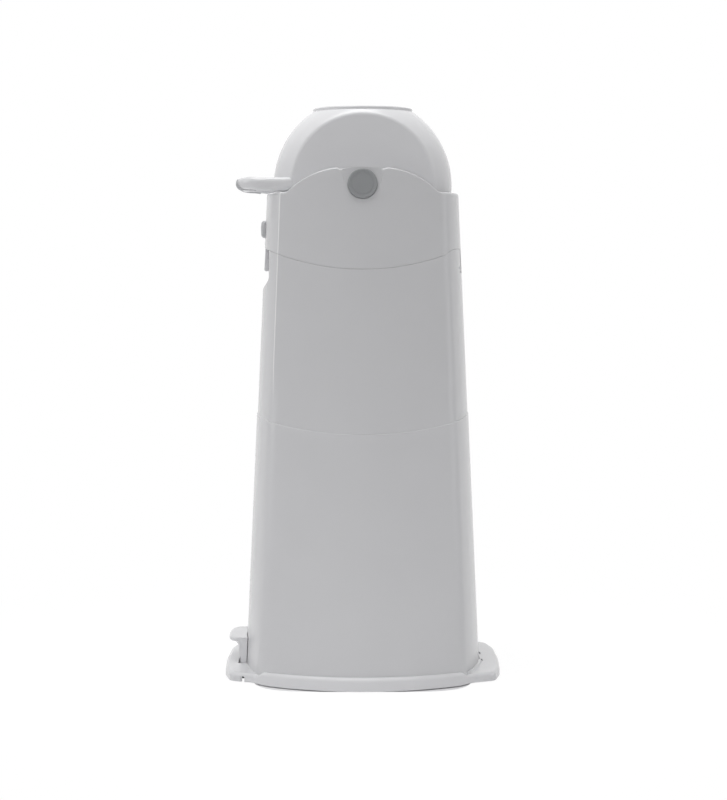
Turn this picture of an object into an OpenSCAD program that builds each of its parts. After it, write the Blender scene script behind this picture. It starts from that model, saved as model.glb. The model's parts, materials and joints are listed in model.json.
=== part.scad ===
// Nappy bin with a turning drum, in millimetres.
// The bin stands on the floor at z = 0 with its front, where the handle is, towards -Y.
// The drum turns about an axis along X. A loose piston slides in the drum's bore.

/* [Body] */
// Depth of the body at the floor, front to back
foot_depth = 296.4; // [290:0.2:300]
// Width of the body at the floor, side to side
foot_width = 296; // [290:0.5:302]
// Height of the waist seam at the front and back
waist_z = 321; // [280:1:360]
// Depth of the body at the waist seam
waist_depth = 264; // [260:0.5:268]
// Width of the body at the waist seam
waist_width = 243; // [238:0.5:250]
// How far the lower body stands proud of the middle body at the waist
waist_step = 0.6; // [0.3:0.1:1.2]
// How far the waist seam dips from the front and back to the middle of a side
waist_dip = 18; // [12:0.5:24]
// Height of the hood's shoulders
shoulder_z = 595; // [590:0.5:596]
// Depth of the body at the shoulders
shoulder_depth = 239.4; // [238:0.2:244]
// Width of the body at the shoulders
shoulder_width = 197.6; // [195:0.2:204]
// Plan radius of the two broad sides, measured at the shoulders
side_radius = 240; // [210:5:280]
// Plan radius of the front and back faces, measured at the shoulders
face_radius = 163; // [150:1:180]
// Radius of the crisp front corners of the hood and middle body
front_corner = 3; // [2:0.5:8]
// Radius of the soft corners
soft_corner = 22; // [16:1:28]
// Height up to which the front corners of the middle body are soft
soft_z = 335; // [331:1:345]
// Height from which the front corners are crisp
crisp_z = 390; // [370:1:420]
// Wall thickness of the body's shells
wall = 3; // [2.4:0.2:3.4]
// Height of the overlap lip inside the waist seam
waist_lip = 6; // [4:0.5:9]

/* [Hood] */
// Height of the hood seam at the front and back
hood_seam_z = 527.2; // [520:0.2:530]
// How far the hood seam dips from the front and back to the middle of a side
hood_seam_dip = 26; // [20:0.5:29]
// Gap between the hood and the middle body
hood_gap = 0.6; // [0.5:0.1:1]
// Height of the rim's two peaks beside the axle cap
rim_peak_z = 624.6; // [620:0.2:628]
// Radius of the rim's falling curves
rim_radius = 95; // [85:1:105]
// Distance of those curves' centres from the middle
rim_centre_y = 22; // [18:1:26]
// Height of the low arch between the two peaks
rim_arch_z = 624.4; // [624:0.1:624.5]
// How far that arch drops from the middle to the edges of the scoop
rim_arch_drop = 2.2; // [1:0.1:3]
// Radius of the hollow where the rim runs into the shoulder
rim_fillet = 10; // [6:1:14]
// Radius that rounds the shoulder's outer edge
shoulder_round = 3.5; // [2:0.5:4]
// Depth of the scoop round the axle cap, at the rim
scoop_depth = 2.2; // [1:0.2:2.6]
// Half width of that scoop at the rim
scoop_top = 27.5; // [24:0.5:32]
// Half width of that scoop at its foot
scoop_foot = 19; // [17:0.5:23]
// Height of the scoop's foot
scoop_z = 580; // [574:1:584]
// Thickness of the cheeks and of the socket round the drum
socket_wall = 3; // [2:0.2:3.2]
// Height at which the hood's socket ends and the liner begins
liner_top_z = 566; // [564:0.5:572]
// Wall thickness of the liner's bowl
liner_wall = 2.4; // [1.8:0.2:3]
// Thickness of the liner's flange
liner_flange = 3; // [2.4:0.2:4]
// Height of the bowl's lower edge, where the seal sits
bowl_z = 506.6; // [506:0.1:507]
// Width of the seal's ring
seal_width = 9; // [7:0.5:12]
// Thickness of the seal's ring
seal_height = 3.2; // [2:0.2:3.6]

/* [Drum] */
// Height of the drum's axis above the floor
axis_z = 604.5; // [602:0.5:606]
// Radius of the drum's ball
drum_r = 112; // [110:0.5:112]
// Half width of the drum between its two flat sides
drum_half = 69.3; // [66:0.1:70]
// Distance of each mouth's flat from the axis
mouth_flat = 92.5; // [90:0.5:93]
// Radius that softens the edge of the flat sides
drum_fillet = 7; // [4:0.5:9]
// Wall thickness of the drum's shells
drum_wall = 3; // [2:0.2:3.6]
// Radius of the bore that the piston slides in
bore_r = 57.5; // [54:0.5:58]
// Wall thickness of the bore's tube
tube_wall = 2; // [1.6:0.1:2.4]
// Height of each rim ring above its flat
ring_height = 3.8; // [3:0.1:4]
// How far a rim ring reaches in over the bore, as the piston's stop
ring_lip = 2.7; // [2:0.1:3.6]
// Radius that rounds a rim ring's top edges
ring_round = 1.8; // [1:0.1:1.8]
// Clearance between the turning drum and its socket
drum_gap = 1; // [0.6:0.1:1.2]
// Clearance between the drum's flat sides and the cheeks
cheek_gap = 1.3; // [0.8:0.1:1.6]
// Height of the piston
piston_h = 70.4; // [60:0.2:80]
// Wall thickness of the piston
piston_wall = 2.5; // [2:0.1:3.5]
// Clearance between the piston and the bore
piston_gap = 0.9; // [0.7:0.1:1.4]
// Clearance between the piston's seal and the bore
seal_gap = 0.3; // [0.3:0.05:0.6]

/* [Axle] */
// Radius of the stub axles
axle_r = 14; // [11:0.5:15]
// Running clearance between a stub axle and its bush
axle_play = 0.06; // [0.03:0.01:0.1]
// Wall thickness of the bushes
bush_wall = 3; // [2:0.1:3]
// Radius of the axle caps
cap_r = 18; // [17.6:0.1:20]
// Thickness of the axle caps
cap_t = 5.4; // [4:0.2:7]
// Depth of the pocket behind an axle cap, measured at the axle
pocket_depth = 1.7; // [1:0.1:2.2]
// Wall thickness of the hub and the axle's boss
boss_wall = 5; // [4:0.2:6]

/* [Handle] */
// Distance of the handle's tip from the axle
handle_reach = 157; // [150:1:165]
// Half height of the handle's legs at the drum
leg_half_height = 8.9; // [7:0.1:8.9]
// Half height of the handle's bar at the tip
bar_half_height = 7.5; // [6:0.1:8.5]
// Thickness of the handle's legs, side to side
leg_width = 13; // [10:0.5:16]
// Thickness of the handle's bar, front to back
bar_width = 16; // [12:0.5:18]
// Radius of the handle's outer corners in plan
handle_corner = 34; // [26:1:40]
// Thickness of the soft grip strip
grip_t = 1; // [0.6:0.1:1.4]
// How far the grip strip reaches back from the handle's tip
grip_reach = 27; // [17:1:31]

/* [Release latch] */
// Width of the push button
button_w = 30; // [26:1:34]
// Height of the push button
button_h = 21; // [17:0.5:21]
// Height of the button's middle above the floor
button_z = 549.5; // [548:0.5:549.5]
// How far the button stands out of the hood
button_proud = 5.6; // [5:0.2:9]
// Height of the latch's pivot
pivot_z = 535; // [534:0.5:536]
// Distance of the latch's pivot from the middle of the bin
pivot_y = 113.5; // [113:0.1:114]
// Radius of the latch's pin
latch_pin_r = 2; // [1.5:0.1:2.2]
// Width of the latch's tongue
tongue_w = 32; // [26:1:36]
// Thickness of the latch's tongue
tongue_t = 6; // [4:0.2:6]
// Outer face of the tongue, measured from the middle of the bin
tongue_y = 124; // [124:0.1:125]
// Height of the tongue's lower end
tongue_z = 498; // [496:0.5:502]
// Face of the finger recess, measured from the middle of the bin
recess_y = 116.4; // [116:0.1:116.8]
// Height at which the recess's flat face ends
recess_z = 492; // [486:0.5:494]
// Height of the sweep that blends the recess into the front
recess_sweep = 23; // [18:0.5:28]

/* [Hinge] */
// Height of the hood's hinge
hinge_z = 503; // [501:0.5:504]
// Distance of the hinge from the middle of the bin
hinge_y = 117.5; // [117:0.1:118]
// Radius of the hinge's pin
hinge_pin_r = 2.5; // [2:0.1:3]
// Radius of the hinge's knuckles
knuckle_r = 6; // [5:0.1:6.2]
// Half width of the fixed middle knuckle
knuckle_half = 21.7; // [16:0.1:26]
// Width of each hood knuckle
arm_w = 12.7; // [9:0.1:15]
// Width of the outer fixed knuckles
ear_w = 6; // [4:0.5:9]
// Radius about the hinge at which the rear seam is cut
hinge_arc = 22.7; // [22.4:0.1:23]
// Running clearance in the pinned joints
pin_play = 0.06; // [0.03:0.01:0.1]
// Side clearance of the moving pieces
side_gap = 0.3; // [0.3:0.05:0.6]

/* [Base] */
// Height of the base plate's top
base_top = 10.5; // [9.5:0.1:12]
// Height of the lip beside the body's foot
lip_top = 17; // [14:0.5:20]
// How far the rubber feet stand below the base plate
foot_drop = 1; // [0.6:0.1:1.6]
// Radius of the rubber feet
foot_r = 11; // [8:0.5:12]
// Depth of base from the middle to the tip of an ear
ear_reach = 171; // [166:1:176]
// Radius of the ears' corners
ear_corner = 26.4; // [20:0.2:32]
// Half width of an ear at its tip
ear_half = 89.4; // [84:0.2:95]
// Half width of an ear where it meets the side lobes
ear_root = 97; // [94:0.5:102]
// Half width of the base across its side lobes
lobe_half = 155.5; // [153:0.5:160]
// Half depth of the outline that forms the side lobes
lobe_depth = 141.5; // [139:0.5:143]
// Thickness of the base plate's skin
base_skin = 2.5; // [2:0.1:3]
// Clearance between the base's lip and the body's foot
foot_gap = 0.4; // [0.3:0.1:0.8]

/* [Pedal] */
// Distance of the pedal's pin from the middle of the bin
pedal_y = 146; // [145.5:0.1:146.5]
// Height of the pedal's pin
pedal_z = 4.8; // [4.6:0.1:5]
// Radius of the pedal's pin
pedal_pin_r = 2.3; // [1.8:0.1:2.4]
// Radius of the pedal's knuckle
pedal_knuckle_r = 3.7; // [3.4:0.1:3.7]
// Width of the pedal's tread
tread_w = 75; // [60:1:90]
// Height of the tread above the floor
tread_top = 42.6; // [38:0.2:48]
// How far the tread stands out in front of the stem
tread_out = 14.3; // [9:0.1:18]
// Thickness of the tread's front edge
tread_lip = 3; // [2:0.2:5]
// Depth of the sweep from the tread down into the stem
tread_root = 12; // [9:0.5:15]
// Width of the pedal's stem
stem_w = 44; // [36:1:56]
// Thickness of the pedal's stem
stem_t = 5.6; // [4:0.2:5.8]
// Gap between the stem and the body's front
stem_gap = 1.4; // [1:0.1:2]
// How far the pedal's pin reaches into the base plate on each side
pin_hold = 22; // [14:1:28]

/* [Bag ring] */
// Height of the ledge that carries the bag ring
ledge_z = 458; // [440:1:462]
// Radius of the bag ring's mouth
bag_mouth_r = 88; // [80:1:92]
// Height of the bag ring's collar
bag_collar = 17; // [10:1:20]

/* [Hidden] */
$fn = 96;

white = "#ececed";
pale = "#d9dadc";
grey = "#75777a";
dark = "#3d3f42";
steel = "#b9bcc0";

// Steps of the plan's arcs in one quarter: broad side, corner and face
side_steps = 8;
corner_steps = 5;
face_steps = 7;
// Steps over which the front corners change from soft to crisp
blend_steps = 4;

// A tool for cuts reaches this far past the surface that it cuts
past = 1;
// Half length of a cut that crosses the whole bin
across_all = 200;

base_half_width = shoulder_width / 2;
base_half_depth = shoulder_depth / 2;
side_c = base_half_width - side_radius;
face_c = base_half_depth - face_radius;

function lerp(a, b, t) = a + (b - a) * t;
// Radius of an arc from half its chord and its rise
function arc_radius(half, rise) = (half * half + rise * rise) / (2 * rise);
// Half width and half depth of the lower body, and of the two pieces above it, at a height
function lower_half(z) = [
    lerp(foot_width / 2, waist_width / 2 + waist_step, z / waist_z),
    lerp(foot_depth / 2, waist_depth / 2 + waist_step, z / waist_z)
];
function upper_half(z) = let (t = (z - waist_z) / (shoulder_z - waist_z)) [
    lerp(waist_width / 2, base_half_width, t),
    lerp(waist_depth / 2, base_half_depth, t)
];
// Centre of a corner arc that touches the side arc and the face arc from inside
function corner_centre(r) = let (
    d = norm([side_c, face_c]),
    r1 = side_radius - r,
    r2 = face_radius - r,
    along = (r1 * r1 - r2 * r2 + d * d) / (2 * d),
    off = sqrt(r1 * r1 - along * along),
    u = [-side_c, face_c] / d
) [side_c, 0] + along * u + off * [-u[1], u[0]];
// One quarter of the plan at the shoulders, from the middle of a side to the middle of a face
function quarter(r) = let (
    c = corner_centre(r),
    a1 = atan2(c[1], c[0] - side_c),
    a2 = atan2(c[1] - face_c, c[0])
) concat(
    [for (i = [0 : side_steps - 1]) let (a = a1 * i / side_steps)
        [side_c + side_radius * cos(a), side_radius * sin(a)]],
    [for (i = [0 : corner_steps]) let (a = lerp(a1, a2, i / corner_steps))
        c + r * [cos(a), sin(a)]],
    [for (i = [1 : face_steps]) let (a = lerp(a2, 90, i / face_steps))
        [face_radius * cos(a), face_c + face_radius * sin(a)]]
);
// The whole plan, scaled to a half width and half depth
function plan(half, front_r, back_r) = let (
    b = quarter(back_r),
    f = quarter(front_r),
    n = len(b),
    sx = half[0] / base_half_width,
    sy = half[1] / base_half_depth
) concat(
    [for (i = [0 : n - 1]) [b[i][0] * sx, b[i][1] * sy]],
    [for (i = [n - 2 : -1 : 0]) [-b[i][0] * sx, b[i][1] * sy]],
    [for (i = [1 : n - 1]) [-f[i][0] * sx, -f[i][1] * sy]],
    [for (i = [n - 2 : -1 : 1]) [f[i][0] * sx, -f[i][1] * sy]]
);

// A solid over a stack of plans of equally many points, each at its height
module stack(plans, heights) {
    n = len(plans[0]);
    m = len(plans);
    polyhedron(
        points = [for (j = [0 : m - 1]) for (p = plans[j]) [p[0], p[1], heights[j]]],
        faces = concat(
            [[for (i = [0 : n - 1]) i]],
            [[for (i = [n - 1 : -1 : 0]) (m - 1) * n + i]],
            [for (j = [0 : m - 2]) for (i = [0 : n - 1])
                [j * n + i, (j + 1) * n + i, j * n + (i + 1) % n]],
            [for (j = [0 : m - 2]) for (i = [0 : n - 1])
                [j * n + (i + 1) % n, (j + 1) * n + i, (j + 1) * n + (i + 1) % n]]
        )
    );
}
// Radius of the front corners at a height: soft at the waist, crisp from some height upwards
function front_radius(z) = let (t = min(max((z - soft_z) / (crisp_z - soft_z), 0), 1))
    lerp(soft_corner, front_corner, t * t * (3 - 2 * t));
module lower_solid(z0, z1, inset) {
    step = [inset, inset];
    stack([for (z = [z0, z1]) plan(lower_half(z) - step, soft_corner, soft_corner)], [z0, z1]);
}
module upper_solid(z0, z1, inset) {
    step = [inset, inset];
    middle = [for (i = [0 : blend_steps]) lerp(soft_z, crisp_z, i / blend_steps)];
    heights = concat([z0], [for (z = middle) if (z > z0 && z < z1) z], [z1]);
    stack([for (z = heights) plan(upper_half(z) - step, front_radius(z), soft_corner)], heights);
}

// Draws an outline in Y and Z through a width along X
module across(w) {
    rotate([90, 0, 90]) linear_extrude(w, center = true) children();
}
// A round bar along X from x0 to x1, at a place in Y and Z
module bar(r, x0, x1, y, z) {
    translate([x0, y, z]) rotate([0, 90, 0]) cylinder(r = r, h = x1 - x0);
}
// A box from one corner to the other
module box(low, high) {
    translate(low) cube(high - low);
}
// A copy on each side of the middle
module both_sides() {
    children();
    mirror([1, 0, 0]) children();
}
// A copy at the front for each one at the back
module both_ends() {
    children();
    mirror([0, 1, 0]) children();
}

// Seams
waist_half = waist_depth / 2;
waist_mid_z = waist_z - waist_dip;
waist_r = arc_radius(waist_half, waist_dip);
hood_seam_half = upper_half(hood_seam_z)[1];
hood_mid_z = hood_seam_z - hood_seam_dip;
hood_r = arc_radius(hood_seam_half, hood_seam_dip);
// Where the rear seam changes from the dipping curve to the arc about the hinge
rear_zone_y = hinge_y - 16.3;
zone_top = hood_seam_z + 33;

module seam_circle(mid_z, r, gap) {
    translate([0, mid_z + r]) circle(r - gap);
}
module rear_zone() {
    translate([rear_zone_y, hinge_z]) square([across_all, zone_top - hinge_z]);
}
module middle_outline() {
    low_z = waist_mid_z - 10;
    intersection() {
        union() {
            difference() {
                translate([-across_all, low_z]) square([2 * across_all, hood_seam_z + 12 - low_z]);
                seam_circle(hood_mid_z, hood_r, 0);
                rear_zone();
            }
            intersection() {
                rear_zone();
                translate([hinge_y, hinge_z]) circle(hinge_arc);
            }
        }
        seam_circle(waist_mid_z, waist_r, 0);
    }
}
rim_centre_z = rim_peak_z - rim_radius;
rim_blend_y = rim_centre_y
    + sqrt(pow(rim_radius + rim_fillet, 2) - pow(shoulder_z + rim_fillet - rim_centre_z, 2));
rim_low = hood_mid_z - 12;
// The hood's top seen from the side, lowered by an inset
module rim_outline(inset) {
    r = rim_radius - inset;
    top = shoulder_z - inset;
    meet_y = rim_centre_y + sqrt(r * r - pow(top - rim_centre_z, 2));
    reach = rim_fillet + inset;
    touch = [rim_blend_y - rim_centre_y, shoulder_z + rim_fillet - rim_centre_z]
        * r / (rim_radius + rim_fillet) + [rim_centre_y, rim_centre_z];
    arch_r = arc_radius(scoop_top, rim_arch_drop);
    difference() {
        union() {
            for (s = [-1, 1]) {
                translate([s * rim_centre_y, rim_centre_z]) circle(r);
                difference() {
                    polygon([
                        [s * touch[0], touch[1]],
                        [s * rim_blend_y, top],
                        [s * (meet_y - past), top - past]
                    ]);
                    translate([s * rim_blend_y, shoulder_z + rim_fillet]) circle(reach);
                }
            }
            translate([-rim_centre_y, rim_low]) square([2 * rim_centre_y, rim_centre_z + r - rim_low]);
            translate([-across_all, rim_low]) square([2 * across_all, top - rim_low]);
        }
        // Low arch between the peaks
        difference() {
            translate([-scoop_top, rim_arch_z - rim_arch_drop - inset - past])
                square([2 * scoop_top, rim_radius]);
            translate([0, rim_arch_z - arch_r]) circle(arch_r - inset);
        }
    }
}
module hood_outline() {
    edge = base_half_depth - shoulder_round;
    intersection() {
        difference() {
            rim_outline(0);
            for (s = [-1, 1]) difference() {
                translate([s > 0 ? edge : -edge - 40, shoulder_z - shoulder_round]) square([40, 40]);
                translate([s * edge, shoulder_z - shoulder_round]) circle(shoulder_round);
            }
        }
        union() {
            difference() {
                seam_circle(hood_mid_z, hood_r, hood_gap);
                rear_zone();
            }
            difference() {
                rear_zone();
                translate([hinge_y, hinge_z]) circle(hinge_arc + hood_gap);
            }
        }
    }
}

// Lower body: the bin's lower shell, which stands on the base plate
foot_slot_half = 22;
tab_half = foot_slot_half - 2;
hook_z0 = 22;
hook_z1 = 28;
hook_half = 12;
hook_window = 0.6;
lip_inset = waist_step + wall + side_gap;
lip_t = 2;
// Outline seen from the side of everything below the waist seam, raised by some height
module below_waist(rise) {
    difference() {
        translate([-across_all, 0]) square([2 * across_all, waist_z + waist_lip + 8]);
        seam_circle(waist_mid_z + rise, waist_r, 0);
    }
}
module lower_body() color(white) {
    rim_low_z = waist_mid_z - 9;
    difference() {
        union() {
            intersection() {
                lower_solid(base_top, waist_z + 4, 0);
                across(2 * across_all) below_waist(0);
            }
            // Lip that reaches up inside the middle body
            intersection() {
                lower_solid(rim_low_z, waist_z + waist_lip + 4, lip_inset);
                across(2 * across_all) below_waist(waist_lip);
            }
            // Tab that drops into the slot at the back of the base plate
            box([-tab_half, lower_half(base_top)[1] - wall + 0.2, pedal_z],
                [tab_half, lower_half(base_top)[1] - 0.8, base_top + 2]);
        }
        lower_solid(base_top - past, rim_low_z, wall);
        lower_solid(rim_low_z - past, waist_z + waist_lip + 5, lip_inset + lip_t);
        // Window for the pedal's hook
        box([-hook_half - hook_window, -lower_half(hook_z0)[1] - past, hook_z0 - hook_window],
            [hook_half + hook_window, -lower_half(hook_z1)[1] + wall + past, hook_z1 + hook_window]);
    }
}

// Middle body: the bin's upper shell, with the finger recess, the ledge and the fixed knuckles
module recess_outline(shift_y, shift_z) {
    foot_z = recess_z - recess_sweep;
    foot_y = upper_half(foot_z)[1] + 2;
    steps = 8;
    translate([shift_y, shift_z]) polygon(concat(
        [[-across_all, hood_seam_z + 20], [-recess_y, hood_seam_z + 20]],
        [for (i = [0 : steps]) let (t = i / steps)
            [lerp(-recess_y, -foot_y, (1 - cos(180 * t)) / 2), recess_z - recess_sweep * t]],
        [[-across_all, foot_z]]
    ));
}
catch_z = 506;
knuckle_end = knuckle_half + side_gap + arm_w + side_gap + ear_w;
module middle_body() color(white) {
    difference() {
        intersection() {
            upper_solid(waist_mid_z - 5, hood_seam_z + 12, 0);
            across(2 * across_all) middle_outline();
        }
        // Inside of the shell, with the recess, the ledge and the knuckles left standing
        difference() {
            upper_solid(waist_mid_z - 6, hood_seam_z + 13, wall);
            across(2 * across_all) recess_outline(wall, -2);
            difference() {
                upper_solid(ledge_z - 3, ledge_z, wall - past);
                upper_solid(ledge_z - 4, ledge_z + past, wall + 6);
            }
            bar(knuckle_r, -knuckle_end, knuckle_end, hinge_y, hinge_z);
        }
        across(2 * across_all) recess_outline(0, 0);
        both_sides() box([knuckle_half, hinge_y - knuckle_r - 2, hinge_z - knuckle_r - 0.5],
            [knuckle_half + arm_w + 2 * side_gap, hinge_y + 20, hood_seam_z + 10]);
        bar(hinge_pin_r, -knuckle_end - past, knuckle_end + past, hinge_y, hinge_z);
        // Dimple for the latch's nose
        box([-tongue_w / 2 + 3, -recess_y - past, catch_z - 3.5],
            [tongue_w / 2 - 3, -recess_y + 1.4, catch_z + 3.5]);
    }
}

// Bag ring: the loose ring over which the bag's mouth is folded
module bag_ring() color(pale) {
    flange_t = 3;
    difference() {
        union() {
            upper_solid(ledge_z, ledge_z + flange_t, wall + 0.5);
            translate([0, 0, ledge_z]) cylinder(r = bag_mouth_r + 3, h = bag_collar);
        }
        translate([0, 0, ledge_z - past]) cylinder(r = bag_mouth_r, h = bag_collar + 2 * past);
    }
}
module hinge_pin() color(steel) {
    bar(hinge_pin_r, -knuckle_end, knuckle_end, hinge_y, hinge_z);
}

// Drum and its socket
rim_r = sqrt(drum_r * drum_r - mouth_flat * mouth_flat);
sweep_r = max(drum_r, ring_round
    + norm([rim_r - ring_round, mouth_flat + ring_height - ring_round]));
socket_r = sweep_r + drum_gap;
cheek_x = drum_half + cheek_gap;
bush_r = axle_r + axle_play + bush_wall;
boss_r = bush_r + boss_wall;
cap_face_x = upper_half(axis_z)[0] - pocket_depth;
cap_back_x = cap_face_x + side_gap;
pocket_r = cap_r + 0.6;
lean = atan((waist_width - shoulder_width) / 2 / (shoulder_z - waist_z));
scoop_angle = atan(scoop_depth / (rim_peak_z - scoop_z));
post_x = 82;
post_y = 60;
post_r = 4.5;
screw_r = 1.6;
screw_head_r = 3.2;
// How far the liner's screws bite into the hood's posts
liner_bite = 11;
liner_low = liner_top_z - liner_flange;
ear_plate = 3.5;
ear_x = tongue_w / 2 - 0.5;
arm_back = pivot_y - 4.5;
// Height of the hood's ears above the latch's pin
ear_rise = 5;

// Ball with its two flats cut to a half width
module ball_slab(r, half) {
    intersection() {
        translate([0, 0, axis_z]) sphere(r);
        box([-half, -r - past, axis_z - r - past], [half, r + past, axis_z + r + past]);
    }
}
// Wedge that forms the scoop round the axle cap
module scoop() {
    rise = rim_peak_z - scoop_z + 6;
    translate([upper_half(scoop_z)[0], 0, scoop_z]) rotate([0, -lean - scoop_angle, 0])
        rotate([90, 0, 90]) linear_extrude(20) polygon([
            [-scoop_foot, 0], [scoop_foot, 0],
            [lerp(scoop_foot, scoop_top, 1.1), rise], [-lerp(scoop_foot, scoop_top, 1.1), rise]
        ]);
}
module hood_cavity() {
    difference() {
        intersection() {
            upper_solid(hood_mid_z - 8, rim_peak_z + 10, wall);
            across(2 * across_all) rim_outline(wall);
        }
        intersection() {
            ball_slab(socket_r + socket_wall, cheek_x + socket_wall);
            box([-across_all, -across_all, liner_top_z], [across_all, across_all, rim_peak_z + 20]);
        }
        both_sides() {
            bar(boss_r, cheek_x, cap_face_x + 6, 0, axis_z);
            both_ends() translate([post_x, post_y, liner_top_z])
                cylinder(r = post_r, h = rim_peak_z - liner_top_z);
            box([ear_x, -across_all, pivot_z - 4], [ear_x + ear_plate, -arm_back, pivot_z + ear_rise]);
        }
    }
}
module hood_shell() color(white) {
    difference() {
        union() {
            difference() {
                intersection() {
                    upper_solid(hood_mid_z - 5, rim_peak_z + 5, 0);
                    across(2 * across_all) hood_outline();
                }
                hood_cavity();
                ball_slab(socket_r, cheek_x);
                both_sides() scoop();
            }
            // Arms that carry the hinge's moving knuckles, just inside the hood's back
            both_sides() intersection() {
                upper_solid(hinge_z - 20, hood_seam_z + 20, 0.3);
                union() {
                    bar(knuckle_r, knuckle_half + side_gap, knuckle_half + side_gap + arm_w,
                        hinge_y, hinge_z);
                    box([knuckle_half + side_gap, hinge_y - knuckle_r + 0.5, hinge_z],
                        [knuckle_half + side_gap + arm_w, hinge_y + 20, hood_seam_z + 6]);
                }
            }
        }
        both_sides() {
            bar(pocket_r, cap_face_x, cap_face_x + 20, 0, axis_z);
            bar(bush_r, cheek_x - past, cap_face_x + past, 0, axis_z);
            both_ends() translate([post_x, post_y, liner_top_z - past])
                cylinder(r = screw_r, h = liner_bite + 1 + past);
        }
        bar(hinge_pin_r + pin_play, -across_all / 2, across_all / 2, hinge_y, hinge_z);
        bar(latch_pin_r, -ear_x - ear_plate - past, ear_x + ear_plate + past, -pivot_y, pivot_z);
        // Guide hole of the push button
        box([-button_w / 2 - side_gap, -across_all, button_z - button_h / 2 - side_gap],
            [button_w / 2 + side_gap, -pivot_y, button_z + button_h / 2 + side_gap]);
        // Notch that the latch's tongue hangs through
        box([-tongue_w / 2 - 2, -across_all, hood_mid_z - 20],
            [tongue_w / 2 + 2, -pivot_y - 5, pivot_z - 4]);
    }
}
module hood_liner() color(pale) {
    bowl_r = socket_r + liner_wall;
    difference() {
        union() {
            upper_solid(liner_low, liner_top_z, wall + 0.3);
            intersection() {
                ball_slab(bowl_r, cheek_x + liner_wall);
                box([-across_all, -across_all, bowl_z], [across_all, across_all, liner_low]);
            }
            translate([0, 0, bowl_z]) cylinder(r = seal_in + seal_width, h = 2);
        }
        ball_slab(socket_r, cheek_x);
        translate([0, 0, bowl_z - past]) cylinder(r = seal_in, h = 4);
        both_sides() both_ends() translate([post_x, post_y, liner_low - past])
            cylinder(r = screw_r, h = liner_flange + 2 * past);
    }
}
seal_in = sqrt(sweep_r * sweep_r - pow(axis_z - bowl_z, 2)) + 0.8;
module drum_seal() color(dark) {
    translate([0, 0, bowl_z - seal_height]) difference() {
        cylinder(r = seal_in + seal_width, h = seal_height);
        translate([0, 0, -past]) cylinder(r = seal_in, h = seal_height + 2 * past);
    }
}
module axle_bushes() color(dark) {
    both_sides() difference() {
        bar(bush_r, cheek_x, cap_face_x, 0, axis_z);
        bar(axle_r + axle_play, cheek_x - past, cap_face_x + past, 0, axis_z);
    }
}
module liner_screws() color(steel) {
    both_sides() both_ends() translate([post_x, post_y, 0]) {
        translate([0, 0, liner_low - 2]) cylinder(r = screw_head_r, h = 2);
        translate([0, 0, liner_low]) cylinder(r = screw_r, h = liner_flange + liner_bite);
    }
}

// Release latch
tongue_in = tongue_y - tongue_t;
web_low = hood_seam_z - 2;
web_top = pivot_z - 7;
nose = 0.8;
latch_arm_half = 6.5;
spring_half = 4.5;
arm_front = pivot_y + 1.5;
button_face = upper_half(button_z)[1] + button_proud;
button_back = arm_front + 0.5;
button_rear = tongue_in + 1.1;
module latch_rocker() color(pale) {
    half = tongue_w / 2 - 1.2;
    difference() {
        union() {
            bar(4.5, -half, half, -pivot_y, pivot_z);
            // Tongue with a round lower end
            box([-half, -tongue_y, tongue_z + tongue_t / 2], [half, -tongue_in, web_top]);
            bar(tongue_t / 2, -half, half, -tongue_y + tongue_t / 2, tongue_z + tongue_t / 2);
            // Nose that faces the dimple of the middle body
            box([-half + 4, -tongue_in, catch_z - 2.5], [half - 4, -tongue_in + nose, catch_z + 2.5]);
            // Web from the tongue to the knuckle
            box([-half, -tongue_in - past, web_low], [half, -pivot_y + 2.5, web_top]);
            box([-half, -pivot_y - 3.5, web_low], [half, -pivot_y + 2.5, pivot_z]);
            // Upper arm that the button pushes
            box([-latch_arm_half, -arm_front, pivot_z], [latch_arm_half, -arm_front + 3, button_z + 4.5]);
        }
        bar(latch_pin_r + pin_play, -half - past, half + past, -pivot_y, pivot_z);
        bar(4.9, -spring_half - side_gap, spring_half + side_gap, -pivot_y, pivot_z);
    }
}
module latch_pin() color(steel) {
    bar(latch_pin_r, -ear_x - ear_plate, ear_x + ear_plate, -pivot_y, pivot_z);
}
module latch_spring() color(steel) {
    difference() {
        bar(3.7, -spring_half, spring_half, -pivot_y, pivot_z);
        bar(latch_pin_r + pin_play, -spring_half - past, spring_half + past, -pivot_y, pivot_z);
    }
}
module release_button() color(grey) {
    half = button_w / 2;
    low = button_z - button_h / 2;
    high = button_z + button_h / 2;
    wing = latch_arm_half + 2.5;
    // The wings clear the hood's ears and the latch's knuckle below them
    wing_low = pivot_z + ear_rise + side_gap;
    box([-half, -button_face, low], [half, -button_rear, high]);
    both_sides() {
        box([wing, -button_rear - past, wing_low], [half, -button_back, high]);
        box([wing, -button_back - 1.5, wing_low], [half + 2, -button_back, high + 1.2]);
    }
    box([-4, -button_rear - past, button_z - 1], [4, -button_back, button_z + 2]);
}

// Drum, about its own axis along Z, which is turned to lie along X
module drum_profile(inset) {
    r = drum_r - inset;
    half = drum_half - inset;
    f = max(drum_fillet - inset, 0.5);
    fillet_y = sqrt(pow(r - f, 2) - pow(half - f, 2));
    c = [fillet_y, half - f];
    touch = c * r / (r - f);
    intersection() {
        difference() {
            circle(r);
            translate([-r - past, -r - past]) square([r + past, 2 * (r + past)]);
            for (s = [-1, 1]) {
                translate([0, s > 0 ? half : -half - r]) square([r + past, r]);
                difference() {
                    polygon([
                        [c[0], s * c[1]], [c[0], s * (half + past)],
                        [touch[0] + f, s * (half + past)], [touch[0] + f, s * touch[1]],
                        [touch[0], s * touch[1]]
                    ]);
                    translate([c[0], s * c[1]]) circle(f);
                }
            }
        }
    }
}
module drum_solid(inset) {
    flat = mouth_flat - inset;
    intersection() {
        translate([0, 0, axis_z]) rotate([0, 90, 0]) rotate_extrude() drum_profile(inset);
        box([-across_all, -across_all, axis_z - flat], [across_all, across_all, axis_z + flat]);
    }
}
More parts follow.
